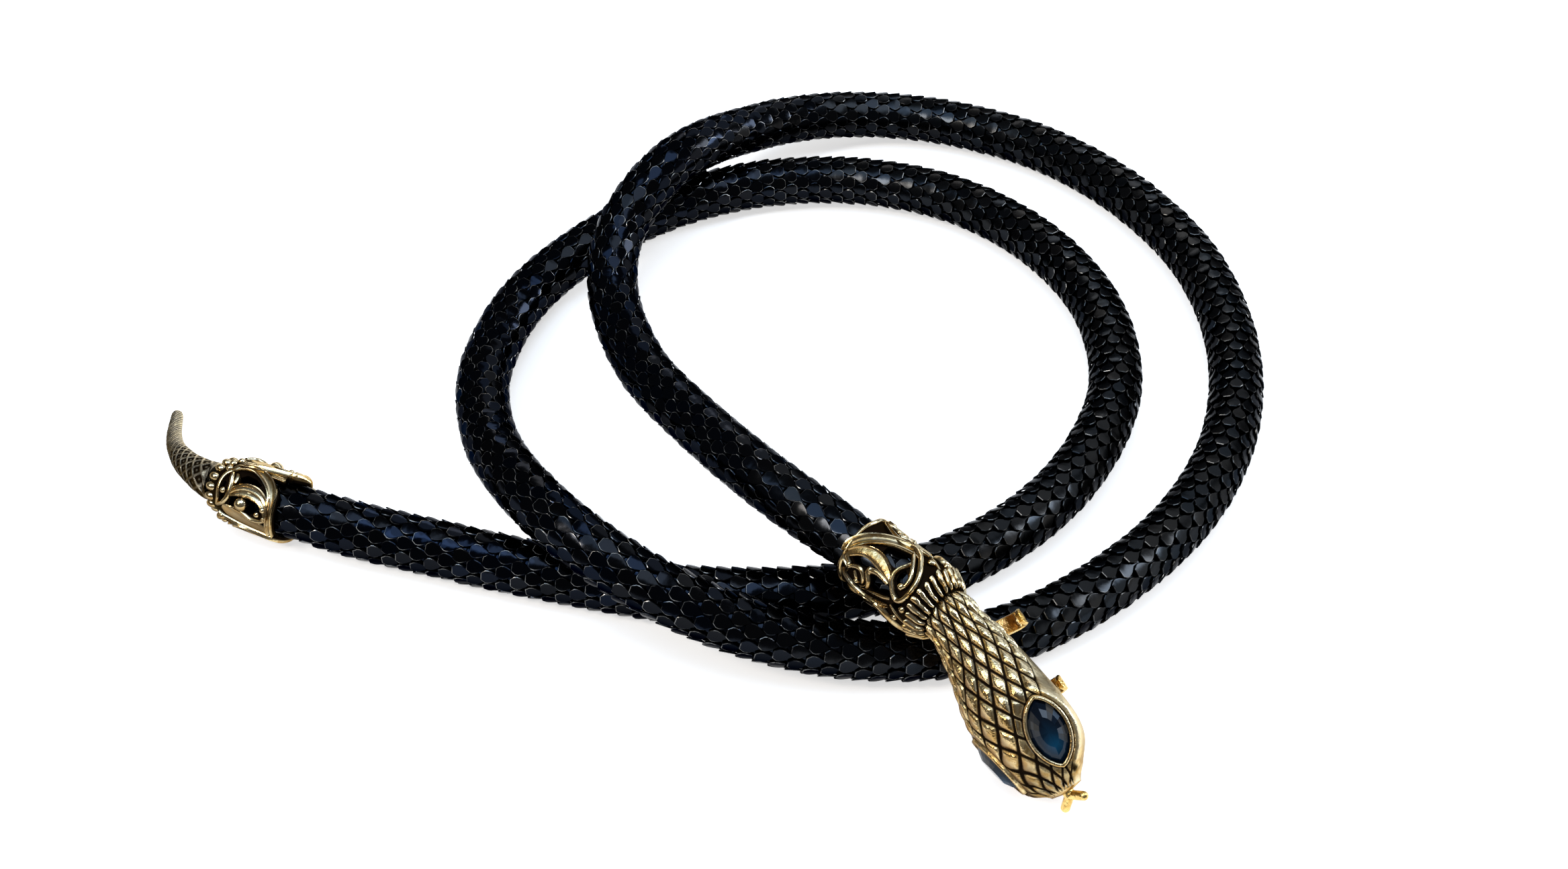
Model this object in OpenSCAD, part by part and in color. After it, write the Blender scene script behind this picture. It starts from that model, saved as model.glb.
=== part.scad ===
// Snake necklace: a round tube of enamelled scale mesh laid in two loops, with a cast
// snake head at one end and a cast tail at the other. Millimetres, +Z up, resting on z = 0.

/* [Mesh tube] */
// Outside diameter of the scale mesh tube
tube_d = 9.6; // [9:0.1:9.8]
// Wall of the scale mesh
tube_wall = 0.9; // [0.6:0.1:1.2]
// Sides of the swept tube
tube_sides = 12; // [8:1:12]

/* [Neck cuff] */
// Length of the pierced cuff over the tube
cuff_len = 16.3; // [15:0.1:17.5]
// Wall of both cuffs
cuff_wall = 0.7; // [0.6:0.05:0.9]
// Diameter of the fluted collar
collar_d = 12; // [11.6:0.1:12.4]
// Flutes round the collar
flute_count = 20; // [12:1:24]
// Openwork scroll motifs round each cuff
motif_count = 3; // [2:1:3]
// Height of the raised scrolls on the cuffs
scroll_relief = 0.3; // [0.2:0.05:0.35]

/* [Snake head] */
// Full width of the head at the eyes
head_w = 17; // [16:0.1:17.6]
// Height of the raised scales on the head
scale_relief = 0.45; // [0.2:0.05:0.6]
// Length of an eye stone
stone_len = 10.3; // [8:0.1:10.6]
// Width of an eye stone
stone_w = 6; // [5:0.1:6.4]

/* [Hooks and tongue] */
// Thickness of the hook strips
hook_t = 0.8; // [0.7:0.1:1.2]
// Diameter of the tongue's prongs
prong_d = 1.4; // [1:0.1:1.6]

/* [Tail] */
// Length of the pierced tail cuff over the tube
tail_cuff_len = 14; // [13.4:0.1:14.2]
// Beads round the tail cuff's end
bead_count = 14; // [10:1:16]

/* [Hidden] */

// Clearance between neighbouring pieces
gap = 0.15;
tube_r = tube_d / 2;
bore_r = tube_r + gap;
cuff_r = bore_r + cuff_wall;
collar_r = collar_d / 2;
collar_len = 3.4;
tongue_r = prong_d / 2 + 0.2;
tail_root_r = 2.4;
cuff_sides = 36;
tail_taper = 3.6;
flute_r = 0.9;
root_r = 3.9;
root_at = 1.2;
squeeze = 0.25;

// The tube's route from the head to the tail, laid in two loops with long low humps where
// one strand crosses over another
ROUTE = [
    [31.5, -55.7, 17], [22.5, -46.4, 17], [8.5, -31.5, 15.3], [-4, -14, 11.5],
    [-14, 2.5, 8.5], [-20, 20, 8.5], [-20, 34, 11.5], [-14.5, 45, 15.2],
    [-7, 55.5, 15.5], [3, 67.5, 11.5], [17, 77.5, 7.7], [33, 81, 5.5],
    [49, 78, 4.9], [65, 69.5, 4.9], [79, 55, 4.9], [89, 35.5, 4.9],
    [92, 13, 4.9], [88, -9.5, 4.9], [77, -29.5, 4.9], [60, -45.5, 4.9],
    [42, -55, 4.9], [23, -57.5, 5.8], [5, -55.8, 9.4], [-9.5, -51, 13.7],
    [-22.5, -41.5, 15.3], [-33, -27, 12], [-39.5, -12, 7.7], [-42, 5.5, 5.3],
    [-37, 24.5, 4.9], [-25, 41, 4.9], [-10, 52.5, 4.9], [8, 59, 4.9],
    [27, 59.5, 4.9], [45, 53.5, 4.9], [60, 40, 4.9], [69, 21, 4.9],
    [69, -1, 4.9], [58.5, -22, 4.9], [42, -37, 4.9], [22, -45, 4.9],
    [-3, -46, 4.9], [-26, -41.5, 4.9], [-45, -36.4, 4.9], [-57, -33.2, 5.2],
    [-67, -30.3, 6.1], [-76, -26.2, 6.1]
];
rings_per_span = [for (i = [0 : len(ROUTE) - 2]) norm(ROUTE[i + 1] - ROUTE[i]) > 18.5 ? 2 : 1];

// Where the castings sit: each origin, its direction on the floor, its slope down and its roll
collar_at = [34.3, -58.6, 17];
cuff_turn = -46;
cuff_face = 216;
head_turn = -56;
head_slope = 21.5;
head_roll = 68;
tail_at = [-69.6, -29.1, 6.1];
tail_turn = 155.5;
tail_face = 150;

// Sections along the head, the round root first: distance from the root's centre, height of
// the middle line, half width as a share of the head's, half height
HEAD = [
    [-3.7, 0, 0.072, 0.61], [-3.4, 0, 0.186, 1.58], [-2.8, 0, 0.294, 2.5], [-2, 0, 0.373, 3.17],
    [-1, 0, 0.425, 3.61], [0, 0, 0.441, 3.75], [2, -0.3, 0.435, 3.7],
    [5.5, -0.8, 0.52, 4.4], [9.5, -0.8, 0.63, 5.1],
    [13.5, -0.5, 0.76, 5.6], [18, -0.5, 0.87, 5.7], [22, -0.9, 0.88, 5.4],
    [25, -1.1, 0.76, 4.8], [28, -0.8, 0.5, 3.3], [30, -0.8, 0.27, 2]
];
head_sides = 36;
head_rings = 33;
head_start = -3.7;
head_len = 30;
belly_z = -5.9;
mouth_z = -0.8;
eye_at = [22, 5.7, 1.9];
eye_face = 49;
eye_lean = 11;
eye_toe = -10;
bezel_w = 0.8;
bezel_h = 0.4;
bezel_deep = 2.4;
seat_h = 0.9;

// The tail's middle line and its radius at each point
TAIL = [
    [-82.9, -23.1, 6, 3.4], [-85.1, -21.8, 5.6, 3], [-87.4, -19.8, 5, 2.6], [-89.8, -17.5, 4.4, 2.2],
    [-92, -14.6, 3.6, 1.85], [-93.9, -11.4, 2.7, 1.55], [-95.2, -7.7, 1.9, 1.3],
    [-95.9, -3.6, 1.4, 1.1], [-96.2, -1.8, 1.2, 0.95]
];

// A point on the smooth curve through b and c, with a and d as the points on either side
function between(a, b, c, d, t) = 0.5 * (2 * b + (c - a) * t + (2 * a - 5 * b + 4 * c - d) * t * t
    + (3 * b - a - 3 * c + d) * t * t * t);
function at(list, i) = list[max(0, min(len(list) - 1, i))];
function curve(list, steps) = concat(
    [for (i = [0 : len(list) - 2]) for (k = [0 : steps[i] - 1])
        between(at(list, i - 1), list[i], list[i + 1], at(list, i + 2), k / steps[i])],
    [list[len(list) - 1]]);
function unit(v) = v / norm(v);
function tangent(line, i) = unit(at(line, i + 1) - at(line, i - 1));
function side(t) = unit(cross([0, 0, 1], t));

// A ring of points round a line that never runs upright
function ring(centre, t, r, sides) = [for (k = [0 : sides - 1])
    centre + r * cos(360 * k / sides) * side(t) + r * sin(360 * k / sides) * cross(t, side(t))];

// Triangles between successive rings of points; where every other point stands up, the
// split joins the two low points of each square so that the high ones read as lozenges
function skin(rings, sides, first = 0, flip = false) = [
    for (i = [0 : rings - 2]) for (k = [0 : sides - 1])
        let (a = first + i * sides + k, b = first + i * sides + (k + 1) % sides,
             c = a + sides, d = b + sides, low = (i + k) % 2 == 0)
        for (f = low ? [[a, c, b], [b, c, d]] : [[a, d, b], [a, c, d]]) flip ? [f[0], f[2], f[1]] : f];
function fan(tip, first, sides, flip = false) = [for (k = [0 : sides - 1])
    let (a = first + k, b = first + (k + 1) % sides) flip ? [tip, b, a] : [tip, a, b]];
function rim(outer, inner, sides, flip = false) = [for (k = [0 : sides - 1])
    let (a = outer + k, b = outer + (k + 1) % sides, c = inner + k, d = inner + (k + 1) % sides)
    for (f = flip ? [[a, c, b], [b, c, d]] : [[a, b, c], [b, d, c]]) f];

// A turned solid about z, from rows of radius and height
module turned(rows) {
    n = len(rows) * cuff_sides;
    pts = [for (q = rows) for (k = [0 : cuff_sides - 1]) let (a = 360 * k / cuff_sides)
        [q[0] * cos(a), q[0] * sin(a), q[1]]];
    ends = [[0, 0, rows[0][1]], [0, 0, rows[len(rows) - 1][1]]];
    polyhedron(points = concat(pts, ends), faces = concat(
        skin(len(rows), cuff_sides, 0, false),
        fan(n, 0, cuff_sides, false), fan(n + 1, n - cuff_sides, cuff_sides, true)));
}

// An almond outline with pointed ends, two arcs of equal radius
function almond(length, width, steps = 6) =
    let (r = (length * length + width * width) / (4 * width), half = asin(length / (2 * r)))
    [for (s = [1, -1]) for (k = [0 : steps - 1]) let (a = half - 2 * half * k / steps)
        [s * r * sin(a), s * (r * cos(a) - r + width / 2)]];

// The mesh tube, hollow from end to end and squeezed a little inside each cuff
module mesh_body() {
    line = curve(ROUTE, rings_per_span);
    n = len(line);
    radius = [for (i = [0 : n - 1]) i == 0 || i == n - 1 ? tube_r - squeeze : tube_r];
    outer = [for (i = [0 : n - 1]) for (p = ring(line[i], tangent(line, i), radius[i], tube_sides)) p];
    inner = [for (i = [0 : n - 1])
        for (p = ring(line[i], tangent(line, i), radius[i] - tube_wall, tube_sides)) p];
    m = n * tube_sides;
    color("#15161c")
        polyhedron(points = concat(outer, inner), faces = concat(
            skin(n, tube_sides, 0, false), skin(n, tube_sides, m, true),
            rim(0, m, tube_sides, false), rim(m - tube_sides, 2 * m - tube_sides, tube_sides, true)));
}

// Places a cuff: its local z runs from the tube's side of the cuff to the casting's end at z = 0
module cuff_frame(where, turn) {
    translate(where)
        rotate([0, 0, turn])
            rotate([0, 90, 0])
                children();
}

// A leaf-shaped outline: a round end that runs to a point
function leaf(r, length, steps = 8) = concat(
    [for (k = [0 : steps]) let (a = -150 + 300 * k / steps) [r * sin(a), -r * cos(a)]],
    [[0, length]]);

// A flat outline pushed outwards through a cuff's wall: u round the cuff, v along it
module on_wall(turn, u, v, spin = 0) {
    rotate([0, 0, turn + u * 180 / (PI * cuff_r)])
        translate([bore_r - 1, 0, v])
            rotate([90, 0, 90])
                linear_extrude(height = cuff_wall + 3)
                    rotate(spin)
                        children();
}

// Keeps only what stands on a cuff's wall, so that a raised scroll follows its curve
module raised(from, to) {
    intersection() {
        union() children();
        difference() {
            turned([[cuff_r + scroll_relief, from], [cuff_r + scroll_relief, to]]);
            turned([[cuff_r - 0.3, from - 1], [cuff_r - 0.3, to + 1]]);
        }
    }
}

// A bead half sunk in a cuff's wall
module wall_bead(turn, u, v, r) {
    rotate([0, 0, turn + u * 180 / (PI * cuff_r)])
        translate([cuff_r - 0.2, 0, v])
            sphere(r = r, $fn = 10);
}

// The neck cuff's openwork: a long window, a teardrop loop, a lower window and a curl's eye
module neck_windows(turn) {
    on_wall(turn, -2.85, -8.9, 90) polygon(almond(5.8, 2.8));
    on_wall(turn, 0.9, -5.3, 90) polygon(leaf(1.3, 3.3));
    on_wall(turn, 3.1, -9, 100) polygon(almond(4.6, 2.2));
    on_wall(turn, 1.1, -12.6) circle(r = 1.1, $fn = 12);
    on_wall(turn, PI * cuff_r / motif_count, -cuff_len) circle(r = 2.4, $fn = 12);
}

module neck_relief(turn) {
    raised(-cuff_len + 0.4, -2.6) {
        on_wall(turn, -2.85, -8.9, 90)
            difference() {
                polygon(almond(8.6, 4.4));
                polygon(almond(5.8, 2.8));
            }
        on_wall(turn, 0.9, -5.3, 90)
            difference() {
                polygon(leaf(2, 5.2));
                polygon(leaf(1.3, 3.3));
            }
    }
    wall_bead(turn, 3.6, -5.2, 0.6);
    wall_bead(turn, 4.6, -12.8, 0.6);
}

// The pierced cuff over the tube's head end, with its fluted collar and a round seat for the
// root of the head
module neck_cuff() {
    color("#b99a55")
        cuff_frame(collar_at, cuff_turn) {
            difference() {
                union() {
                    turned([[cuff_r, -cuff_len], [cuff_r, -2.9],
                            [collar_r - 0.6, -2.6], [collar_r - 0.6, 0]]);
                    for (k = [0 : flute_count - 1])
                        rotate([0, 0, 360 * k / flute_count])
                            translate([collar_r - flute_r, 0, -2.7])
                                cylinder(r = flute_r, h = 2.5, $fn = 12);
                }
                turned([[bore_r, -cuff_len - 1], [bore_r, -collar_len]]);
                translate([0, 0, root_at]) sphere(r = root_r + gap, $fn = 28);
                for (k = [0 : motif_count - 1]) neck_windows(cuff_face + k * 360 / motif_count);
            }
            for (k = [0 : motif_count - 1]) neck_relief(cuff_face + k * 360 / motif_count);
        }
}

module head_frame() {
    translate(collar_at + root_at * [cos(cuff_turn), sin(cuff_turn), 0])
        rotate([head_roll, head_slope, head_turn])
            children();
}

// Half a head section's size at a distance x along it
function head_section(x) =
    let (k = max([for (i = [0 : len(HEAD) - 2]) if (HEAD[i][0] <= x) i]),
         t = (x - HEAD[k][0]) / (HEAD[k + 1][0] - HEAD[k][0]))
    between(at(HEAD, k - 1), HEAD[k], HEAD[k + 1], at(HEAD, k + 2), t);

// Raised lozenges on the top, none on the belly, near the neck's joint or at the eyes
function head_relief(x, a) =
    let (top = sin(a) > -0.35 ? 1 : 0,
         body = x > 2 && x < head_len - 0.8 ? 1 : 0,
         along = abs(x - eye_at[0]),
         flat = along < 6.5 && abs(abs(a - 90) - 60) < 34 - 3 * along ? 0 : 1)
    scale_relief * top * body * flat;

function head_ring(i) =
    let (x = head_start + (head_len - head_start) * i / (head_rings - 1),
         s = head_section(x), w = s[2] * head_w / 2)
    [for (k = [0 : head_sides - 1]) let (a = 360 * k / head_sides, up = (i + k) % 2,
        d = head_relief(x, a) * up, c = cos(a), z = sin(a))
        [x, (w + d) * sign(c) * pow(abs(c), 0.9), s[1] + (s[3] + d) * sign(z) * pow(abs(z), 0.9)]];

module head_body() {
    pts = [for (i = [0 : head_rings - 1]) for (p = head_ring(i)) p];
    n = len(pts);
    ends = [[head_start - 0.1, 0, 0], [head_len + 0.6, 0, mouth_z]];
    polyhedron(points = concat(pts, ends), faces = concat(
        skin(head_rings, head_sides, 0, false),
        fan(n, 0, head_sides, false), fan(n + 1, n - head_sides, head_sides, true)));
}

// Places an eye: its local z is the way the stone faces; s is 1 for the snake's left, -1 for its right
module eye_frame(s) {
    mirror([0, s < 0 ? 1 : 0, 0])
        translate(eye_at)
            rotate([eye_face - 90, 0, 0])
                rotate([0, eye_lean, 0])
                    rotate([0, 0, eye_toe])
                        children();
}

// The cast head with its round root, raised scales, flat belly, bezels round the eyes and the
// mouth's socket
module snake_head() {
    color("#b99a55")
        head_frame()
            difference() {
                union() {
                    head_body();
                    for (s = [1, -1])
                        eye_frame(s)
                            translate([0, 0, -bezel_deep])
                                linear_extrude(height = bezel_deep + bezel_h)
                                    polygon(almond(stone_len + 3.4 * bezel_w, stone_w + 2 * bezel_w));
                }
                for (s = [1, -1])
                    eye_frame(s)
                        translate([0, 0, -seat_h])
                            linear_extrude(height = 5)
                                polygon(almond(stone_len + 3.4 * gap, stone_w + 2 * gap));
                translate([3, -head_w / 2, belly_z - 4]) cube([19, head_w, 4]);
                translate([head_len - 3, 0, mouth_z])
                    rotate([0, 90, 0]) cylinder(r = (tongue_r + gap) / cos(15), h = 6, $fn = 12);
            }
}

// A cut almond stone with a table, two rows of crown facets and a flat foot
module eye_stone(s) {
    steps = 6;
    girdle = almond(stone_len, stone_w, steps);
    crown = almond(stone_len * 0.8, stone_w * 0.76, steps);
    table = almond(stone_len * 0.5, stone_w * 0.46, steps);
    foot = almond(stone_len * 0.9, stone_w * 0.9, steps);
    heights = [-seat_h + gap, 0.2, 1.1, 1.6];
    rows = [foot, girdle, crown, table];
    n = 2 * steps;
    pts = [for (i = [0 : 3]) for (p = rows[i]) [p[0], p[1], heights[i]]];
    head_frame()
        eye_frame(s)
            hull()
                polyhedron(points = concat(pts, [[0, 0, heights[0]], [0, 0, heights[3]]]), faces = concat(
                    skin(4, n, 0, false), fan(4 * n, 0, n, false), fan(4 * n + 1, 3 * n, n, true)));
}

module eye_stone_left() {
    color("#123a52") eye_stone(1);
}

module eye_stone_right() {
    color("#123a52") eye_stone(-1);
}

// The forked tongue: a round root in the mouth's socket and two blunt prongs
module tongue() {
    prong_len = 2.4;
    color("#e0b040")
        head_frame()
            translate([head_len - 2.8, 0, mouth_z]) {
                rotate([0, 90, 0]) cylinder(r = tongue_r, h = 3.8, $fn = 24);
                for (s = [1, -1])
                    translate([3.6, 0, 0])
                        rotate([0, 0, s * 61]) {
                            rotate([0, 90, 0]) cylinder(r = prong_d / 2, h = prong_len, $fn = 24);
                            translate([prong_len, 0, 0]) sphere(r = prong_d / 2, $fn = 24);
                        }
            }
}

// One hook: a strip that leaves the plate, runs out below the belly and curls up at its end
module hook_strip(along, width, reach) {
    bend = 1.25;
    start = 0.8;
    translate([along - width / 2, 0, 0])
        rotate([90, 0, 90])
            linear_extrude(height = width)
                union() {
                    translate([start, -reach]) square([hook_t, reach]);
                    translate([start + bend, -reach])
                        difference() {
                            circle(r = bend, $fn = 32);
                            circle(r = bend - hook_t, $fn = 32);
                            translate([-3, 0]) square([6, 3]);
                        }
                    translate([start + 2 * bend - hook_t, -reach]) square([hook_t, 0.4]);
                }
}

// The double hook under the head: a narrow plate along the belly with two curled hooks
module head_hook() {
    color("#e0b040")
        head_frame()
            translate([0, 0, belly_z - gap]) {
                translate([3.9, -2.6, -hook_t]) cube([14.3, 3.5, hook_t]);
                hook_strip(5.4, 2.8, 3.8);
                hook_strip(16.7, 2.6, 3.1);
            }
}

// The tail cuff's openwork: a slim window by the beads, a long one, a crescent and a notched rim
module tail_windows(turn) {
    on_wall(turn, -0.5, -2.9) polygon(almond(4.8, 1.5));
    on_wall(turn, 1.7, -6.6, 90) polygon(almond(5.2, 2.4));
    on_wall(turn, -2.4, -7.1)
        difference() {
            circle(r = 1.7, $fn = 16);
            translate([0.7, 0.7]) circle(r = 1.1, $fn = 16);
        }
    on_wall(turn, 4.8, -tail_cuff_len) polygon(leaf(1.8, 5));
}

module tail_relief(turn) {
    raised(-tail_cuff_len + 0.3, -2) {
        on_wall(turn, 1.7, -6.6, 90)
            difference() {
                polygon(almond(7.4, 3.8));
                polygon(almond(5.2, 2.4));
            }
        on_wall(turn, -6.2, -8, 90)
            difference() {
                polygon(almond(8.6, 3.2));
                polygon(almond(4.6, 1.4));
            }
    }
    wall_bead(turn, -1.7, -6.4, 0.6);
    wall_bead(turn, -2.4, -10.6, 0.6);
}

// The pierced cuff over the tube's tail end, closed at the casting's end by a bead row
module tail_cuff() {
    end_r = 3.9;
    bead_r = 0.75;
    color("#b99a55")
        cuff_frame(tail_at, tail_turn)
            translate([0, 0, tail_cuff_len]) {
                difference() {
                    union() {
                        turned([[cuff_r, -tail_cuff_len], [cuff_r, -tail_taper], [end_r, 0]]);
                        for (k = [0 : bead_count - 1])
                            rotate([0, 0, 360 * k / bead_count])
                                translate([end_r, 0, -bead_r])
                                    sphere(r = bead_r, $fn = 10);
                    }
                    turned([[bore_r, -tail_cuff_len - 1], [bore_r, -tail_taper - 1.6]]);
                    turned([[tail_root_r + gap, -tail_taper - 3], [tail_root_r + gap, 1]]);
                    for (k = [0 : motif_count - 1]) tail_windows(tail_face + k * 360 / motif_count);
                }
                for (k = [0 : motif_count - 1]) tail_relief(tail_face + k * 360 / motif_count);
            }
}

// The cast tail: a round root in the tail cuff's socket and a scaled cone that bends to a slim
// round-ended tip
module tail_tip() {
    sides = 14;
    steps = [for (i = [0 : len(TAIL) - 2]) 3];
    line = curve(TAIL, steps);
    n = len(line);
    mid = [for (q = line) [q[0], q[1], q[2]]];
    pts = [for (i = [0 : n - 1]) let (t = tangent(mid, i)) for (k = [0 : sides - 1])
        let (r = line[i][3] + ((i + k) % 2 == 1 && i > 1 && i < n - 9 ? 0.25 : 0), a = 360 * k / sides)
        mid[i] + r * cos(a) * side(t) + r * sin(a) * cross(t, side(t))];
    end = mid[n - 1] + 0.6 * tangent(mid, n - 1);
    color("#a88d50") {
        polyhedron(points = concat(pts, [mid[0], end]), faces = concat(
            skin(n, sides, 0, false), fan(n * sides, 0, sides, false),
            fan(n * sides + 1, (n - 1) * sides, sides, true)));
        cuff_frame(tail_at, tail_turn)
            translate([0, 0, tail_cuff_len - tail_taper])
                cylinder(r = tail_root_r, h = tail_taper + 0.8, $fn = 24);
    }
}

mesh_body();
neck_cuff();
snake_head();
eye_stone_left();
eye_stone_right();
tongue();
head_hook();
tail_cuff();
tail_tip();
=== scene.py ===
"""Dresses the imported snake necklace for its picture.

The necklace is a tube of enamelled scale mesh laid in two loops. A cast snake head sits on a
pierced cuff at one end and a cast tail on a second cuff at the other. The castings and the
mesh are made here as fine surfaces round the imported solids. Sizes are in millimetres and in
degrees unless a name says otherwise.
"""

from __future__ import annotations

import logging
import math
from abc import ABC, abstractmethod
from dataclasses import dataclass, field
from enum import Enum
from typing import Any, Callable, Iterable, Sequence, Union

import bpy
import numpy as np
from mathutils import Matrix

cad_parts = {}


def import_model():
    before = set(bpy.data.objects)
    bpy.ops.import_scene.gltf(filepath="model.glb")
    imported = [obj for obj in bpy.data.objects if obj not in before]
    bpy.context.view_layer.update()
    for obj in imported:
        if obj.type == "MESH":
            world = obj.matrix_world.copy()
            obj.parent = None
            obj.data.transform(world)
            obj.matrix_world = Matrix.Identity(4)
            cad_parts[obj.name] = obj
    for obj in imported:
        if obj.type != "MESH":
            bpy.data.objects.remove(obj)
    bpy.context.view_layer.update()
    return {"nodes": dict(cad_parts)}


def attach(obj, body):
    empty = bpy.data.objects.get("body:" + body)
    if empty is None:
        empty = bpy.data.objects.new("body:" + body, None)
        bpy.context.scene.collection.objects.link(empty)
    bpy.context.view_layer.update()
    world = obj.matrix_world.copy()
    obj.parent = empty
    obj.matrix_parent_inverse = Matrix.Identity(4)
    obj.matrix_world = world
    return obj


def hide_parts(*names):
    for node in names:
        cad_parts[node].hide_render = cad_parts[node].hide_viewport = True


LOG = logging.getLogger("snake_necklace")
MM = 0.001
Colour = tuple[float, float, float, float]


class Slot(Enum):
    """The record's material slots."""

    MESH = "mesh"
    ANTIQUE_GOLD = "antique_gold"
    BRIGHT_GOLD = "bright_gold"
    STONE = "stone"


# Curves, frames and ramps


def unit(vectors: np.ndarray) -> np.ndarray:
    """Each vector divided by its own length."""
    return vectors / np.linalg.norm(vectors, axis=-1, keepdims=True)


def ramp(value: np.ndarray, low: float, high: float) -> np.ndarray:
    """Rises from 0 at low to 1 at high as 3 t squared less 2 t cubed."""
    t = np.clip((value - low) / (high - low), 0.0, 1.0)
    return t * t * (3.0 - 2.0 * t)


def turns(count: int) -> np.ndarray:
    """Equal steps once round a circle, in radians."""
    return 2 * math.pi * np.arange(count) / count


def cubic(a: np.ndarray, b: np.ndarray, c: np.ndarray, d: np.ndarray, t: np.ndarray) -> np.ndarray:
    """The cubic from b at t = 0 to c at t = 1 whose slope at a point is half the distance
    between its two neighbours."""
    bent, twisted = 2 * a - 5 * b + 4 * c - d, 3 * b - a - 3 * c + d
    return 0.5 * (2 * b + (c - a) * t + bent * t**2 + twisted * t**3)


def table(value: np.ndarray, rows: Sequence[tuple[float, float]]) -> np.ndarray:
    """The value looked up in rows of a place and what holds there, evenly between them."""
    return np.interp(value, *np.transpose(rows))


def smooth_curve(points: Sequence[Sequence[float]], per_span: int) -> np.ndarray:
    """A smooth curve through points: a cubic on each span, with the ends held.

    Args:
        points: rows of coordinates, and of any other value that runs along the curve.
        per_span: how many points are made on each span.

    Returns:
        The rows of the curve.
    """
    rows = np.asarray(points, float)
    held = np.concatenate([rows[:1], rows, rows[-1:]])
    a, b, c, d = (q[:, None] for q in (held[:-3], held[1:-2], held[2:-1], held[3:]))
    t = (np.arange(per_span) / per_span)[None, :, None]
    return np.concatenate([cubic(a, b, c, d, t).reshape(-1, rows.shape[1]), rows[-1:]])


def spun(x: float, y: float, z: float) -> np.ndarray:
    """The matrix that turns about x, then y, then z, by degrees."""
    ax, ay, az = (math.radians(v) for v in (x, y, z))
    about_x = np.array([[1, 0, 0], [0, math.cos(ax), -math.sin(ax)], [0, math.sin(ax), math.cos(ax)]])
    about_y = np.array([[math.cos(ay), 0, math.sin(ay)], [0, 1, 0], [-math.sin(ay), 0, math.cos(ay)]])
    about_z = np.array([[math.cos(az), -math.sin(az), 0], [math.sin(az), math.cos(az), 0], [0, 0, 1]])
    return about_z @ about_y @ about_x


@dataclass(frozen=True)
class Place:
    """Where a casting stands: its origin and the directions of its own axes."""

    origin: np.ndarray
    axes: np.ndarray

    def out(self, points: np.ndarray) -> np.ndarray:
        """Points of the casting's own frame, in the frame that it stands in."""
        return points @ self.axes.T + self.origin

    def into(self, points: np.ndarray) -> np.ndarray:
        """Points of the frame that it stands in, in the casting's own frame."""
        return (points - self.origin) @ self.axes


class Route:
    """A smooth line with its arc lengths and a frame that never rolls about it.

    Attributes:
        REACH: how far ahead of a point and behind it the tangent is measured.
    """

    REACH = 1.2

    def __init__(self, points: Sequence[Sequence[float]], per_span: int = 24) -> None:
        """Lays the curve through points and adds up its length."""
        self.line = smooth_curve(points, per_span)
        steps = np.linalg.norm(np.diff(self.line[:, :3], axis=0), axis=1)
        self.along = np.concatenate([[0.0], np.cumsum(steps)])

    @property
    def length(self) -> float:
        """The line's whole length."""
        return float(self.along[-1])

    def at(self, s: np.ndarray) -> np.ndarray:
        """The line's rows at the distances s, held at both ends."""
        inside = np.clip(s, 0.0, self.length)
        rows = [np.interp(inside, self.along, column) for column in self.line.T]
        return np.stack(rows, axis=-1)

    def frame(self, s: np.ndarray) -> tuple[np.ndarray, np.ndarray, np.ndarray]:
        """The tangent at s, the level direction across it, and the one square to both."""
        ahead, behind = self.at(s + self.REACH), self.at(s - self.REACH)
        tangent = unit(ahead[..., :3] - behind[..., :3])
        across = unit(np.cross([0.0, 0.0, 1.0], tangent))
        return tangent, across, np.cross(tangent, across)

    def around(self, s: np.ndarray, angle: np.ndarray, radius: np.ndarray) -> np.ndarray:
        """The point at a distance along the line, an angle round it and a radius from it."""
        _, across, up = self.frame(s)
        turn = np.cos(angle)[..., None] * across + np.sin(angle)[..., None] * up
        return self.at(s)[..., :3] + np.asarray(radius)[..., None] * turn


# Surfaces


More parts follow.
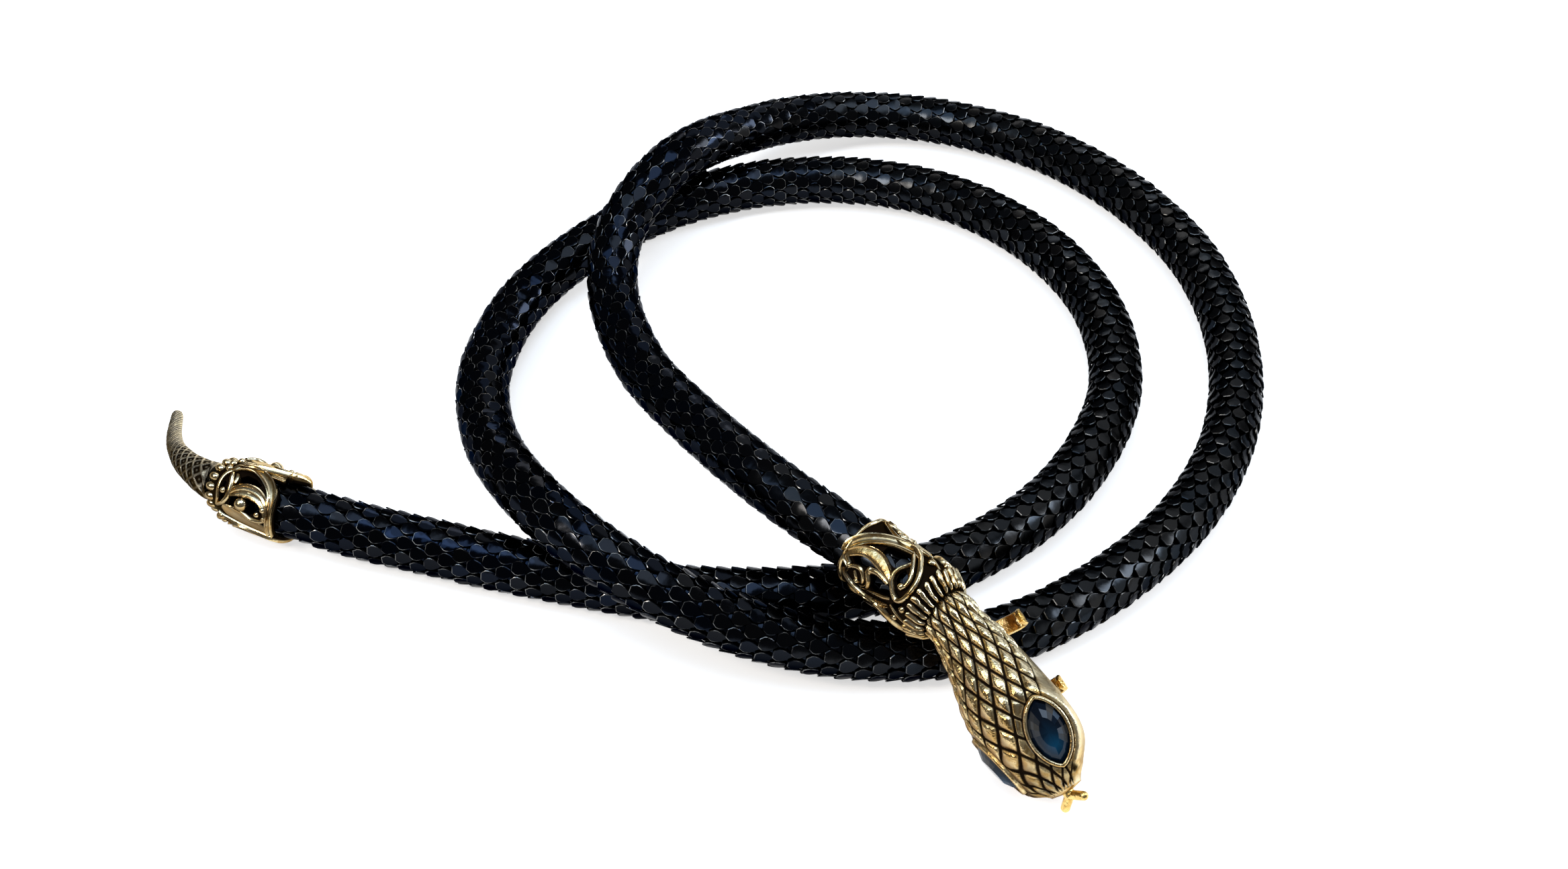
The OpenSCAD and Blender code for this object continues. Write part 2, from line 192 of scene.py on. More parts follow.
@dataclass
class Surface:
    """Points, faces and the values that a finish reads at each point."""

    points: np.ndarray
    faces: list[np.ndarray]
    values: dict[str, np.ndarray] = field(default_factory=dict)

    @staticmethod
    def joined(parts: Iterable[Surface]) -> Surface:
        """Several surfaces as one, with their points numbered on."""
        parts = list(parts)
        starts = np.cumsum([0] + [len(p.points) for p in parts])
        faces = [f + first for p, first in zip(parts, starts) for f in p.faces]
        names = parts[0].values.keys()
        return Surface(
            np.concatenate([p.points for p in parts]),
            faces,
            {n: np.concatenate([p.values[n] for p in parts]) for n in names},
        )

    def moved(self, change: Callable[[np.ndarray], np.ndarray]) -> Surface:
        """The same surface with its points changed."""
        return Surface(change(self.points), self.faces, self.values)

    def mirrored(self) -> Surface:
        """The surface seen in the plane y = 0, with its faces turned to stay outwards."""
        return Surface(
            self.points * np.array([1.0, -1.0, 1.0]), [f[:, ::-1] for f in self.faces], self.values
        )

    def shown(self, name: str, finish: bpy.types.Material, slot: Slot, node: str,
              crease: float = 40.0) -> bpy.types.Object:
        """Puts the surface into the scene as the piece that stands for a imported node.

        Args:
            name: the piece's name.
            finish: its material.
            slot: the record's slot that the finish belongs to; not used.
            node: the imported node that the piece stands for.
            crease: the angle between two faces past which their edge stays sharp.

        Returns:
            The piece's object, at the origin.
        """
        mesh = bpy.data.meshes.new(name)
        mesh.vertices.add(len(self.points))
        mesh.vertices.foreach_set("co", (self.points * MM).astype(np.float32).ravel())
        sizes = np.concatenate([np.full(len(f), f.shape[1]) for f in self.faces])
        corners = np.concatenate([f.ravel() for f in self.faces]).astype(np.int32)
        mesh.loops.add(len(corners))
        mesh.loops.foreach_set("vertex_index", corners)
        mesh.polygons.add(len(sizes))
        starts = np.concatenate([[0], np.cumsum(sizes)[:-1]]).astype(np.int32)
        mesh.polygons.foreach_set("loop_start", starts)
        mesh.update(calc_edges=True)
        mesh.polygons.foreach_set("use_smooth", np.ones(len(sizes), bool))
        mesh.set_sharp_from_angle(angle=math.radians(crease))
        for key, value in self.values.items():
            layer = mesh.attributes.new(key, "FLOAT", "POINT")
            layer.data.foreach_set("value", value.astype(np.float32))
        mesh.materials.append(finish)
        piece = bpy.data.objects.new(name, mesh)
        bpy.context.scene.collection.objects.link(piece)
        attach(piece, "root")
        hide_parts(node)
        triangles = int((sizes - 2).sum())
        LOG.info("%s: %d faces, %d triangles", name, len(sizes), triangles)
        return piece


def grid_faces(rows: int, columns: int) -> np.ndarray:
    """The quads between neighbouring points of a grid that is laid out row by row and whose
    last column joins the first.

    Args:
        rows: how many rows of points there are.
        columns: how many points each row has.

    Returns:
        Four point numbers for each quad.
    """
    i, k = np.meshgrid(np.arange(rows - 1), np.arange(columns), indexing="ij")
    a = i * columns + k
    b = i * columns + (k + 1) % columns
    return np.stack([a, b, b + columns, a + columns], axis=-1).reshape(-1, 4)


def ring_faces(rows: int, columns: int) -> np.ndarray:
    """The quads of a grid that closes on itself both ways."""
    return grid_faces(rows + 1, columns) % (rows * columns)


def lattice_gap(rows: int, columns: int, fineness: int) -> np.ndarray:
    """How far each point of a grid lies from a lattice of slanting grooves.

    A groove lies where the row's count plus or less the column's is a whole number of scales.
    The gaps to both grooves are joined as the sum of their inverse cubes to the power of minus
    a third, so that a scale's corners are round.

    Args:
        rows: how many rows of points there are.
        columns: how many points each row has.
        fineness: how many points there are to a scale.

    Returns:
        The gaps, from 0 to a half, row by row.
    """
    i, k = np.arange(rows)[:, None], np.arange(columns)
    counts = (i + k) / fineness, (i - k) / fineness
    gaps = [np.maximum(np.abs(count - np.round(count)), 1e-4) for count in counts]
    return (gaps[0] ** -3 + gaps[1] ** -3) ** (-1 / 3)


def closed_ends(grid: np.ndarray, ends: np.ndarray) -> Surface:
    """A tube of rings, each ring counter-clockwise about the way it runs, with a fan of
    triangles from one middle point over each end.

    Args:
        grid: points in rings, shape (rings, columns, 3).
        ends: the two middle points.

    Returns:
        The closed surface, its two middle points last.
    """
    rings, columns, _ = grid.shape
    k = np.arange(columns)
    following = (k + 1) % columns
    last = (rings - 1) * columns
    middle = rings * columns
    start = np.stack([np.full(columns, middle), following, k], axis=-1)
    finish = np.stack([np.full(columns, middle + 1), last + k, last + following], axis=-1)
    points = np.concatenate([grid.reshape(-1, 3), ends])
    return Surface(points, [grid_faces(rings, columns), start, finish])


def turned(profile: Sequence[Sequence[float]], columns: int) -> Surface:
    """A closed ring turned about z: each (radius, height) of the profile goes round a circle.

    Args:
        profile: the closed outline of half the ring, counter-clockwise with the radius to
            the right and the height upwards; the third number is the finish's height.
        columns: how many points go round.

    Returns:
        The ring, with its finish value "lift".
    """
    rows = np.asarray(profile, float)
    angle = turns(columns)
    radius, height = rows[:, 0, None], rows[:, 1, None] + 0.0 * angle
    grid = np.stack([radius * np.cos(angle), radius * np.sin(angle), height], axis=-1)
    lift = np.repeat(rows[:, 2], columns)
    return Surface(grid.reshape(-1, 3), [ring_faces(len(rows), columns)], {"lift": lift})


# Shader arithmetic

Number = Union[float, "Value"]


class Value:
    """A number that changes over a surface. Arithmetic on it adds Math nodes."""

    def __init__(self, tree: Tree, socket: bpy.types.NodeSocket) -> None:
        """Wraps the socket that gives the number."""
        self.tree = tree
        self.socket = socket

    def _math(self, operation: str, first: Number, second: Number) -> Value:
        """One Math node on two numbers."""
        node = self.tree.node("ShaderNodeMath", {"operation": operation}, {0: first, 1: second})
        return Value(self.tree, node.outputs[0])

    def __add__(self, other: Number) -> Value:
        """The sum."""
        return self._math("ADD", self, other)

    __radd__ = __add__

    def __sub__(self, other: Number) -> Value:
        """The difference."""
        return self._math("SUBTRACT", self, other)

    def __rsub__(self, other: Number) -> Value:
        """The difference the other way round."""
        return self._math("SUBTRACT", other, self)

    def __mul__(self, other: Number) -> Value:
        """The product."""
        return self._math("MULTIPLY", self, other)

    __rmul__ = __mul__

    def ramp(self, low: float, high: float) -> Value:
        """Rises smoothly from 0 at low to 1 at high."""
        node = self.tree.node(
            "ShaderNodeMapRange",
            {"interpolation_type": "SMOOTHSTEP"},
            {"Value": self, "From Min": low, "From Max": high},
        )
        return Value(self.tree, node.outputs["Result"])


class Tree:
    """The nodes of one material."""

    def __init__(self, name: str) -> None:
        """Starts a material with nothing but its output."""
        self.material = bpy.data.materials.new(name)
        self.material.use_nodes = True
        self.material.node_tree.nodes.clear()

    def node(self, kind: str, settings: dict[str, Any], inputs: dict[Any, Any]) -> bpy.types.Node:
        """Adds one node.

        Args:
            kind: the node's type.
            settings: properties to set first; "stops" gives a ramp's places and colours.
            inputs: a number, a colour, a Value or a socket for each input, by name or place.

        Returns:
            The node.
        """
        made = self.material.node_tree.nodes.new(kind)
        for key, value in settings.items():
            if key == "stops":
                self._set_stops(made.color_ramp, value)
            else:
                setattr(made, key, value)
        for key, value in inputs.items():
            self._feed(made.inputs[key], value)
        return made

    def _set_stops(self, band: bpy.types.ColorRamp, stops: Sequence[tuple[float, Colour]]) -> None:
        """Gives a ramp its places and colours."""
        while len(band.elements) < len(stops):
            band.elements.new(0.5)
        for element, (place, colour) in zip(band.elements, stops):
            element.position, element.color = place, colour

    def _feed(self, socket: bpy.types.NodeSocket, value: Any) -> None:
        """Links a Value or a socket to an input, or sets a plain number or colour there."""
        if isinstance(value, Value):
            value = value.socket
        if isinstance(value, bpy.types.NodeSocket):
            self.material.node_tree.links.new(value, socket)
        else:
            socket.default_value = value

    def attribute(self, name: str) -> Value:
        """A value that the surface carries at its points."""
        node = self.node("ShaderNodeAttribute", {"attribute_name": name}, {})
        return Value(self, node.outputs["Fac"])

    def place(self) -> bpy.types.NodeSocket:
        """The point on the piece, in metres."""
        return self.node("ShaderNodeTexCoord", {}, {}).outputs["Object"]

    def across(self) -> Value:
        """How far to the right the point lies, in metres."""
        return Value(self, self.node("ShaderNodeSeparateXYZ", {}, {0: self.place()}).outputs["X"])

    def noise(self, size: float, detail: float = 3.0, rough: float = 0.55) -> Value:
        """Cloudy noise from 0 to 1, with lumps of about the given size in millimetres."""
        node = self.node(
            "ShaderNodeTexNoise",
            {},
            {"Vector": self.place(), "Scale": 1.0 / (size * MM), "Detail": detail,
             "Roughness": rough},
        )
        return Value(self, node.outputs["Fac"])

    def facing(self, way: tuple[float, float, float]) -> Value:
        """How far the surface faces a way, from -1 to 1."""
        normal = self.node("ShaderNodeNewGeometry", {}, {}).outputs["Normal"]
        node = self.node("ShaderNodeVectorMath", {"operation": "DOT_PRODUCT"}, {0: normal, 1: way})
        return Value(self, node.outputs["Value"])

    def blend(self, mask: Number, low: Any, high: Any) -> bpy.types.NodeSocket:
        """A colour between low, where the mask is 0, and high, where it is 1."""
        # The mix node has one set of sockets for each type; 6, 7 and 2 are the colour's
        node = self.node("ShaderNodeMix", {"data_type": "RGBA"}, {0: mask, 6: low, 7: high})
        return node.outputs[2]

    def bump(self, height: Value, depth: float) -> bpy.types.NodeSocket:
        """A normal that shows the height, at a depth in millimetres."""
        node = self.node(
            "ShaderNodeBump", {}, {"Height": height, "Distance": depth * MM, "Strength": 1.0}
        )
        return node.outputs["Normal"]

    def finished(self, inputs: dict[str, Any]) -> bpy.types.Material:
        """Ends the material in one principled shader with the given inputs."""
        shader = self.node("ShaderNodeBsdfPrincipled", {}, inputs)
        self.node("ShaderNodeOutputMaterial", {}, {"Surface": shader.outputs[0]})
        return self.material


# Finishes


@dataclass(frozen=True)
class BlackEnamel:
    """Gloss black plate on the mesh's scales, rubbed thin along their edges."""

    blue: Colour = (0.0058, 0.0088, 0.0165, 1.0)
    brown: Colour = (0.0098, 0.0103, 0.0115, 1.0)
    green: Colour = (0.0155, 0.0188, 0.023, 1.0)
    grey: Colour = (0.0230, 0.0230, 0.0230, 1.0)
    under: Colour = (0.004, 0.0045, 0.006, 1.0)
    rubbed: Colour = (0.27, 0.265, 0.25, 1.0)
    glancing: Colour = (0.46, 0.46, 0.465, 1.0)
    gloss: float = 0.06

    def material(self) -> bpy.types.Material:
        """The plate, read from each scale's "rim" and "tone"; its tint drifts from a bluer
        black on the left to a greyer one on the right."""
        tree = Tree("black_enamel")
        rim, tone = tree.attribute("rim"), tree.attribute("tone")
        cloud, patch = tree.noise(0.5), tree.noise(2.2, 2.0)
        # Painted reflection: the tint drifts from a bluer black on the left to a greyer one on the right,
        # standing in for the light that each side mirrors. The rubbed edges thin out to the right with
        # it.
        right = tree.across().ramp(-0.02, 0.055)
        worn = rim.ramp(0.35, 0.95) * patch.ramp(0.40, 0.58) * (cloud.ramp(0.3, 0.6) * 0.5 + 0.5)
        worn = worn * (1.0 - right * 0.68)
        plate = tree.blend(
            right, tree.blend(tone, self.blue, self.brown), tree.blend(tone, self.green, self.grey)
        )
        # Painted shade: faces that turn down get the darker under colour.
        plate = tree.blend(tree.facing((0.0, 0.0, 1.0)).ramp(-0.3, 0.65), self.under, plate)
        return tree.finished({
            "Base Color": tree.blend(worn, plate, self.rubbed),
            "Metallic": 1.0,
            "Roughness": tone * 0.06 + cloud * 0.05 + worn * 0.2 + right * 0.09 + self.gloss,
            "Normal": tree.bump(tree.noise(1.6, 1.0), 0.03),
            "Specular Tint": self.glancing,
        })


@dataclass(frozen=True)
class AntiqueGold:
    """The head's pale hammered gold plate, with dark patina in its grooves, and painted shade underneath
    and on the side turned from the light.

    Attributes:
        name: the material's name.
        pale: a painted highlight: the plate where it faces the light most.
        plate: its usual colour, which clouds over into warm.
        under: its colour where it is shaded, laid on as painted shade.
        patina: the colour left in the grooves.
        towards: the way that the painted light comes from.
        shaded: how far it faces that way where the painted shade is full, and where it has ended.
        low: the "lift" under which the patina covers the plate.
        high: the "lift" from which the plate is clean.
        dents: how deep its hammered dents are, in millimetres.
        grain: how far the patina's edge is broken up.
    """

    name: str = "hammered_gold_plate"
    pale: Colour = (0.86, 0.755, 0.51, 1.0)
    plate: Colour = (0.885, 0.68, 0.345, 1.0)
    warm: Colour = (0.50, 0.31, 0.105, 1.0)
    under: Colour = (0.20, 0.122, 0.066, 1.0)
    patina: Colour = (0.012, 0.007, 0.004, 1.0)
    glancing: Colour = (0.64, 0.56, 0.45, 1.0)
    towards: tuple[float, float, float] = (0.55, -0.10, 0.83)
    gloss: float = 0.13
    low: float = 0.14
    high: float = 0.74
    shaded: tuple[float, float] = (-0.45, 0.4)
    dents: float = 0.13
    grain: float = 1.0

    def material(self) -> bpy.types.Material:
        """The plate, dark where the surface's "lift" is low; it is painted paler where it faces the
        light and painted with shade where it turns away from it."""
        tree = Tree(self.name)
        lift, cloud, fine = tree.attribute("lift"), tree.noise(1.4), tree.noise(0.22, 2.0)
        uneven = (cloud - 0.5) * 0.5 + (fine - 0.5) * 0.2
        bright = (lift + uneven * self.grain).ramp(self.low, self.high)
        # Painted light and shade: the plate is paler where it faces the way of towards, and gets the
        # under colour where it turns away.
        side = tree.facing(self.towards) + (cloud - 0.5) * 0.6
        metal = tree.blend(cloud.ramp(0.37, 0.59), self.plate, self.warm)
        metal = tree.blend(side.ramp(0.62, 0.95), metal, self.pale)
        lit = tree.blend(side.ramp(*self.shaded), self.under, metal)
        return tree.finished({
            "Base Color": tree.blend(bright, self.patina, lit),
            "Metallic": 1.0,
            "Roughness": self.gloss + (1.0 - lift) * 0.5 + fine * 0.1,
            "Specular Tint": self.glancing,
            "Normal": tree.bump(tree.noise(0.8) + fine * 0.3, self.dents),
        })


@dataclass(frozen=True)
class NeckCuffGold(AntiqueGold):
    """The neck cuff's plate, smoother than the head's and darker in its hollows."""

    name: str = "antique_gold_plate"
    under: Colour = (0.15, 0.095, 0.055, 1.0)
    low: float = 0.36
    high: float = 1.1
    shaded: tuple[float, float] = (-0.4, 0.6)
    dents: float = 0.045
    grain: float = 0.45


@dataclass(frozen=True)
class TailCuffGold(AntiqueGold):
    """The tail cuff's plate, smooth, with a broad shade on the side away from the light."""

    name: str = "aged_gold_with_painted_shade"
    under: Colour = (0.14, 0.095, 0.055, 1.0)
    low: float = 0.24
    high: float = 1.05
    shaded: tuple[float, float] = (-0.35, 0.85)
    dents: float = 0.035
    grain: float = 0.35


@dataclass(frozen=True)
class TailGold(AntiqueGold):
    """The tail's plate, paler, and painted with nearly black shade where it turns from the light."""

    name: str = "gold_plate_with_painted_shade"
    plate: Colour = (0.92, 0.83, 0.64, 1.0)
    warm: Colour = (0.76, 0.66, 0.47, 1.0)
    under: Colour = (0.05, 0.038, 0.027, 1.0)
    towards: tuple[float, float, float] = (0.85, -0.25, 0.46)
    low: float = 0.2
    high: float = 0.85
    shaded: tuple[float, float] = (-0.3, 0.38)
    dents: float = 0.1


@dataclass(frozen=True)
class BrightGold:
    """Polished yellow gold plate on the plain fittings, browned where "lift" is low."""

    plate: Colour = (0.88, 0.62, 0.22, 1.0)
    shade: Colour = (0.60, 0.35, 0.08, 1.0)
    brown: Colour = (0.50, 0.33, 0.14, 1.0)
    gloss: float = 0.14

    def material(self, worn: bool) -> bpy.types.Material:
        """The plate, a little uneven as hand polished metal is.

        Args:
            worn: whether the surface carries "lift".
        """
        tree = Tree("worn_gold_plate" if worn else "bright_gold_plate")
        cloud = tree.noise(1.2)
        metal = tree.blend(cloud.ramp(0.42, 0.7), self.plate, self.shade)
        if worn:
            metal = tree.blend(tree.attribute("lift").ramp(0.2, 0.8), self.brown, metal)
        return tree.finished({
            "Base Color": metal,
            "Metallic": 1.0,
            "Roughness": cloud * 0.12 + self.gloss,
            "Normal": tree.bump(tree.noise(0.6), 0.16),
        })


@dataclass(frozen=True)
class BlueGlass:
    """Dark blue cut glass, its depth and reflections painted as tones that change from facet to facet."""

    deep: Colour = (0.0012, 0.002, 0.0045, 1.0)
    navy: Colour = (0.004, 0.009, 0.018, 1.0)
    brown: Colour = (0.058, 0.053, 0.045, 1.0)
    pale: Colour = (0.060, 0.092, 0.135, 1.0)
    teal: Colour = (0.003, 0.044, 0.094, 1.0)

    def material(self) -> bpy.types.Material:
        """The glass: painted reflections read from each facet's "tone", a painted glow from "glow"."""
        tree = Tree("blue_glass")
        # The brown and pale stops and the teal are painted reflections and glow; deep and navy are the
        # glass's own dark blue.
        stops = [(0.0, self.deep), (0.4, self.navy), (0.7, self.brown), (1.0, self.pale)]
        facet = tree.node("ShaderNodeValToRGB", {"stops": stops}, {"Fac": tree.attribute("tone")})
        return tree.finished({
            "Base Color": tree.blend(tree.attribute("glow"), facet.outputs["Color"], self.teal),
            "Roughness": 0.03,
            "IOR": 1.28,
        })


# The necklace


@dataclass
class MeshTube:
    """The flexible tube of overlapping scales, as it lies in its two loops.

    Attributes:
        route: points of the tube's middle line, from the head to the tail.
        tip_radius: how far a scale's free end lies from that line.
        pressed: how much nearer it lies inside a cuff.
        in_neck_cuff: the distances from the head end over which the press lets go.
        in_tail_cuff: the same, from the tail end.
        pieces: how many pieces they are made in.
        around: how many scales a row has.
        row_pitch: the distance from row to row.
        first_row: how many pitches the first row lies from the head end.
        lowest: the height above the floor under which nothing reaches.
        seed: the start of the random draws.
        tilt_degrees: the spread of a scale's tilt.
        lift_spread: the spread of its height.
        hinge: the place on a scale about which it tips.
        aim_reach: how far back its own direction is measured.
        outline: half a scale from its free end to its root: distance back and half width.
        slope, bow: how fast its face rises along x, and how it bends down across.
        thickness, rim_drop, bevel, shoulder, shoulder_rise: the levels of its edge.
        shown: how far back its light rim fades.
        sleeve_radius, sleeve_wall: the sleeve's outer radius and how thick it is.
        sleeve_sides, sleeve_rings: how many points it has round it and along it.
    """

    route: Sequence[Sequence[float]] = (
        (31.5, -55.7, 17), (22.5, -46.4, 17), (8.5, -31.5, 15.3), (-4, -14, 11.5),
        (-14, 2.5, 8.5), (-20, 20, 8.5), (-20, 34, 11.5), (-14.5, 45, 15.2),
        (-7, 55.5, 15.5), (3, 67.5, 11.5), (17, 77.5, 7.7), (33, 81, 5.5),
        (49, 78, 4.9), (65, 69.5, 4.9), (79, 55, 4.9), (89, 35.5, 4.9),
        (92, 13, 4.9), (88, -9.5, 4.9), (77, -29.5, 4.9), (60, -45.5, 4.9),
        (42, -55, 4.9), (23, -57.5, 5.8), (5, -55.8, 9.4), (-9.5, -51, 13.7),
        (-22.5, -41.5, 15.3), (-33, -27, 12), (-39.5, -12, 7.7), (-42, 5.5, 5.3),
        (-37, 24.5, 4.9), (-25, 41, 4.9), (-10, 52.5, 4.9), (8, 59, 4.9),
        (27, 59.5, 4.9), (45, 53.5, 4.9), (60, 40, 4.9), (69, 21, 4.9),
        (69, -1, 4.9), (58.5, -22, 4.9), (42, -37, 4.9), (22, -45, 4.9),
        (-3, -46, 4.9), (-26, -41.5, 4.9), (-45, -36.4, 4.9), (-57, -33.2, 5.2),
        (-67, -30.3, 6.1), (-76, -26.2, 6.1),
    )
    tip_radius: float = 4.73
    pressed: float = 0.22
    in_neck_cuff: tuple[float, float] = (15.0, 19.0)
    in_tail_cuff: tuple[float, float] = (11.0, 15.0)
    around: int = 11
    row_pitch: float = 2.45
    first_row: float = 0.9
    lowest: float = 0.04
    pieces: int = 3
    seed: int = 7
    tilt_degrees: float = 2.0
    lift_spread: float = 0.012
    hinge: float = -1.2
    aim_reach: float = 2.0
    outline: Sequence[Sequence[float]] = (
        (0.0, 0.60), (0.09, 0.73), (0.66, 1.14), (1.12, 1.19), (1.70, 1.04), (2.30, 0.74),
        (2.9, 0.48), (3.6, 0.38), (4.3, 0.36),
    )
    slope: float = 0.16
    bow: float = 0.03
    thickness: float = 0.26
    rim_drop: float = 0.10
    bevel: float = 0.12
    shoulder: float = 0.24
    shoulder_rise: float = 0.012
    shown: tuple[float, float] = (1.2, 2.4)
    sleeve_radius: float = 4.0
    sleeve_wall: float = 0.5
    sleeve_sides: int = 20
    sleeve_rings: int = 330

    def plate(self) -> Surface:
        """One scale in its own frame: x towards the tail, y across and z outwards.

        Four rings follow one outline: the foot, the rim, the bevel's upper edge and the
        shoulder. A ring's height is the slope times x, less a shallow bow across it.

        Returns:
            The closed scale, with its finish value "rim".
        """
        back, half = np.array(self.outline).T
        right = np.stack([-back, -half], axis=-1)
        left = np.stack([-back, half], axis=-1)[::-1]
        edge = np.concatenate([left, right])
        inwards = unit(np.array([edge[:, 0].mean(), 0.0]) - edge)
        levels = (
            (0.0, -self.thickness), (0.0, -self.rim_drop), (self.bevel, 0.0),
            (self.shoulder, self.shoulder_rise),
        )
        rings = []
        for inset, lift in levels:
            flat = edge + inset * inwards
            height = self.slope * flat[:, 0] - self.bow * flat[:, 1] ** 2 + lift
            rings.append(np.concatenate([flat, height[:, None]], axis=1))
        count = len(edge)
        k = np.arange(count // 2 - 1)
        foot = np.stack([k, k + 1, count - 2 - k, count - 1 - k], axis=-1)
        top = foot + (len(levels) - 1) * count
        front = 1.0 - ramp(-edge[:, 0], *self.shown)
        rim = np.concatenate([share * front for share in (0.0, 0.3, 1.0, 0.0)])
        faces = [grid_faces(len(levels), count), top, foot[:, ::-1]]
        return Surface(np.concatenate(rings), faces, {"rim": rim})

    def seats(self, line: Route, s: np.ndarray, angle: np.ndarray) -> tuple[np.ndarray, ...]:
        """Where scales stand on the tube.

        A scale's x follows the way the mesh runs there, as long as the mesh is stretched or
        closed up by the bend.

        Args:
            line: the tube's middle line.
            s: each scale's distance along it.
            angle: each scale's angle round it.

        Returns:
            Each scale's free end, and its own x, y and z.
        """
        free = np.minimum(ramp(s, *self.in_neck_cuff), ramp(line.length - s, *self.in_tail_cuff))
        radius = self.tip_radius - self.pressed * (1.0 - free)
        tip = line.around(s, angle, radius)
        forward = (tip - line.around(s - self.aim_reach, angle, radius)) / self.aim_reach
        across = unit(np.cross(unit(tip - line.at(s)[:, :3]), forward))
        return tip, forward, across, unit(np.cross(forward, across))

    def scales(self, line: Route, first: int, last: int) -> Surface:
        """The scales of the rows from first up to last.

        Row j lies at j times the pitch. Its scales stand an equal angle apart, and every
        other row is turned by half that angle. Chance rolls each scale about its x, tips it
        about its hinge and lifts it.

        Args:
            line: the tube's middle line.
            first: the first row.
            last: the row after the last.

        Returns:
            All the rows' scales, with the finish values "rim" and "tone".
        """
        plate = self.plate()
        row, column = np.divmod(np.arange(first * self.around, last * self.around), self.around)
        chance = np.random.default_rng([self.seed, first])
        angle = 2 * math.pi * (column + 0.5 * (row % 2)) / self.around
        tip, *axes = self.seats(line, (row + self.first_row) * self.row_pitch, angle)
        count = len(row)
        tilts = np.radians(chance.normal(0.0, self.tilt_degrees, (2, count)))
        roll, tip_up = np.tan(tilts)[..., None]
        lift = chance.normal(0.0, self.lift_spread, count)[:, None]
        x, y, z = plate.points.T
        height = z + roll * y - 0.5 * tip_up * np.abs(x - self.hinge) + lift
        steps = (v[..., None] * axis[:, None] for v, axis in zip((x, y, height), axes))
        points = tip[:, None] + sum(steps)
        points[..., 2] = np.maximum(points[..., 2], self.lowest)
        step = len(plate.points)
        shift = (np.arange(count) * step)[:, None, None]
        faces = [(f[None] + shift).reshape(-1, 4) for f in plate.faces]
        tone = np.repeat(chance.random(count), step)
        values = {"rim": np.tile(plate.values["rim"], count), "tone": tone}
        return Surface(points.reshape(-1, 3), faces, values)

    def sleeve(self, line: Route) -> Surface:
        """The dark sleeve under the scales: one circle outside and one inside, carried along
        the line and joined at both ends."""
        s = np.linspace(0.0, line.length, self.sleeve_rings)
        s, angle = np.meshgrid(s, turns(self.sleeve_sides), indexing="ij")
        outer = line.around(s, angle, self.sleeve_radius)
        inner = line.around(s, angle, self.sleeve_radius - self.sleeve_wall)
        rings = np.concatenate([outer, inner[::-1]])
        points = rings.reshape(-1, 3)
        zero = np.zeros(len(points))
        return Surface(points, [ring_faces(*rings.shape[:2])], {"rim": zero, "tone": zero})

    def dress(self, enamel: bpy.types.Material) -> None:
        """Makes the scales in a few pieces, and the sleeve under them."""
        line = Route(self.route)
        rows = int(line.length / self.row_pitch - self.first_row)
        LOG.info("mesh tube: %.0f mm long, %d rows of scales", line.length, rows)
        bounds = np.linspace(0, rows, self.pieces + 1).astype(int)
        for k, (first, last) in enumerate(zip(bounds[:-1], bounds[1:])):
            self.scales(line, int(first), int(last)).shown(
                f"mesh_scales_{k + 1}", enamel, Slot.MESH, "mesh_body", crease=20.0
            )
        self.sleeve(line).shown("mesh_sleeve", enamel, Slot.MESH, "mesh_body")


@dataclass(frozen=True)
class Ground:
    """The surface of revolution that a cuff's bands stand on.

    Attributes:
        profile: rows of place along the cuff and radius there.
        thickness: how far its inner face lies under it.
    """

    profile: Sequence[Sequence[float]]
    thickness: float

    @property
    def radius(self) -> float:
        """The radius at the profile's first row, by which the cuff is unrolled."""
        return self.profile[0][1]

    def rolled(self, across: np.ndarray, along: np.ndarray, lift: np.ndarray) -> np.ndarray:
        """Points of the unrolled cuff rolled round z: the angle is the distance across
        divided by the unrolling radius, and the radius is the profile's plus the lift."""
        rows = np.array(self.profile)
        angle = across / self.radius
        radius = np.interp(along, rows[:, 0], rows[:, 1]) + lift
        return np.stack([radius * np.cos(angle), radius * np.sin(angle), along + 0.0 * angle], -1)

    def spot(self, degrees: float, along: float, lift: float) -> np.ndarray:
        """One point, by its angle, its place along the cuff and its height."""
        across = np.array(math.radians(degrees) * self.radius)
        return self.rolled(across, np.array(along), np.array(lift))


class BandStyle(Enum):
    """The sections of the cast bands: across from -1 to 1, and the share of the height."""

    ROUND = (
        (-1, 0), (-0.93, 0.45), (-0.66, 0.84), (-0.25, 1), (0.25, 1), (0.66, 0.84), (0.93, 0.45),
        (1, 0),
    )
    GUTTER = (
        (-1, 0), (-0.98, 0.62), (-0.84, 0.97), (-0.66, 0.95), (-0.44, 0.48), (-0.16, 0.3),
        (0.16, 0.3), (0.44, 0.48), (0.66, 0.95), (0.84, 0.97), (0.98, 0.62), (1, 0),
    )
    BLADE = (
        (-1, 0), (-0.98, 0.7), (-0.86, 1), (-0.7, 0.92), (-0.5, 0.6), (-0.2, 0.62),
        (0.3, 0.72), (0.7, 0.66), (0.95, 0.4), (1, 0),
    )
    RIBBED = (
        (-1, 0), (-0.96, 0.7), (-0.82, 0.9), (-0.66, 0.7), (-0.5, 0.62), (-0.3, 0.92), (-0.12, 0.95),
        (0.04, 0.66), (0.2, 0.6), (0.4, 0.85), (0.6, 0.95), (0.8, 0.98), (0.96, 0.7), (1, 0),
    )


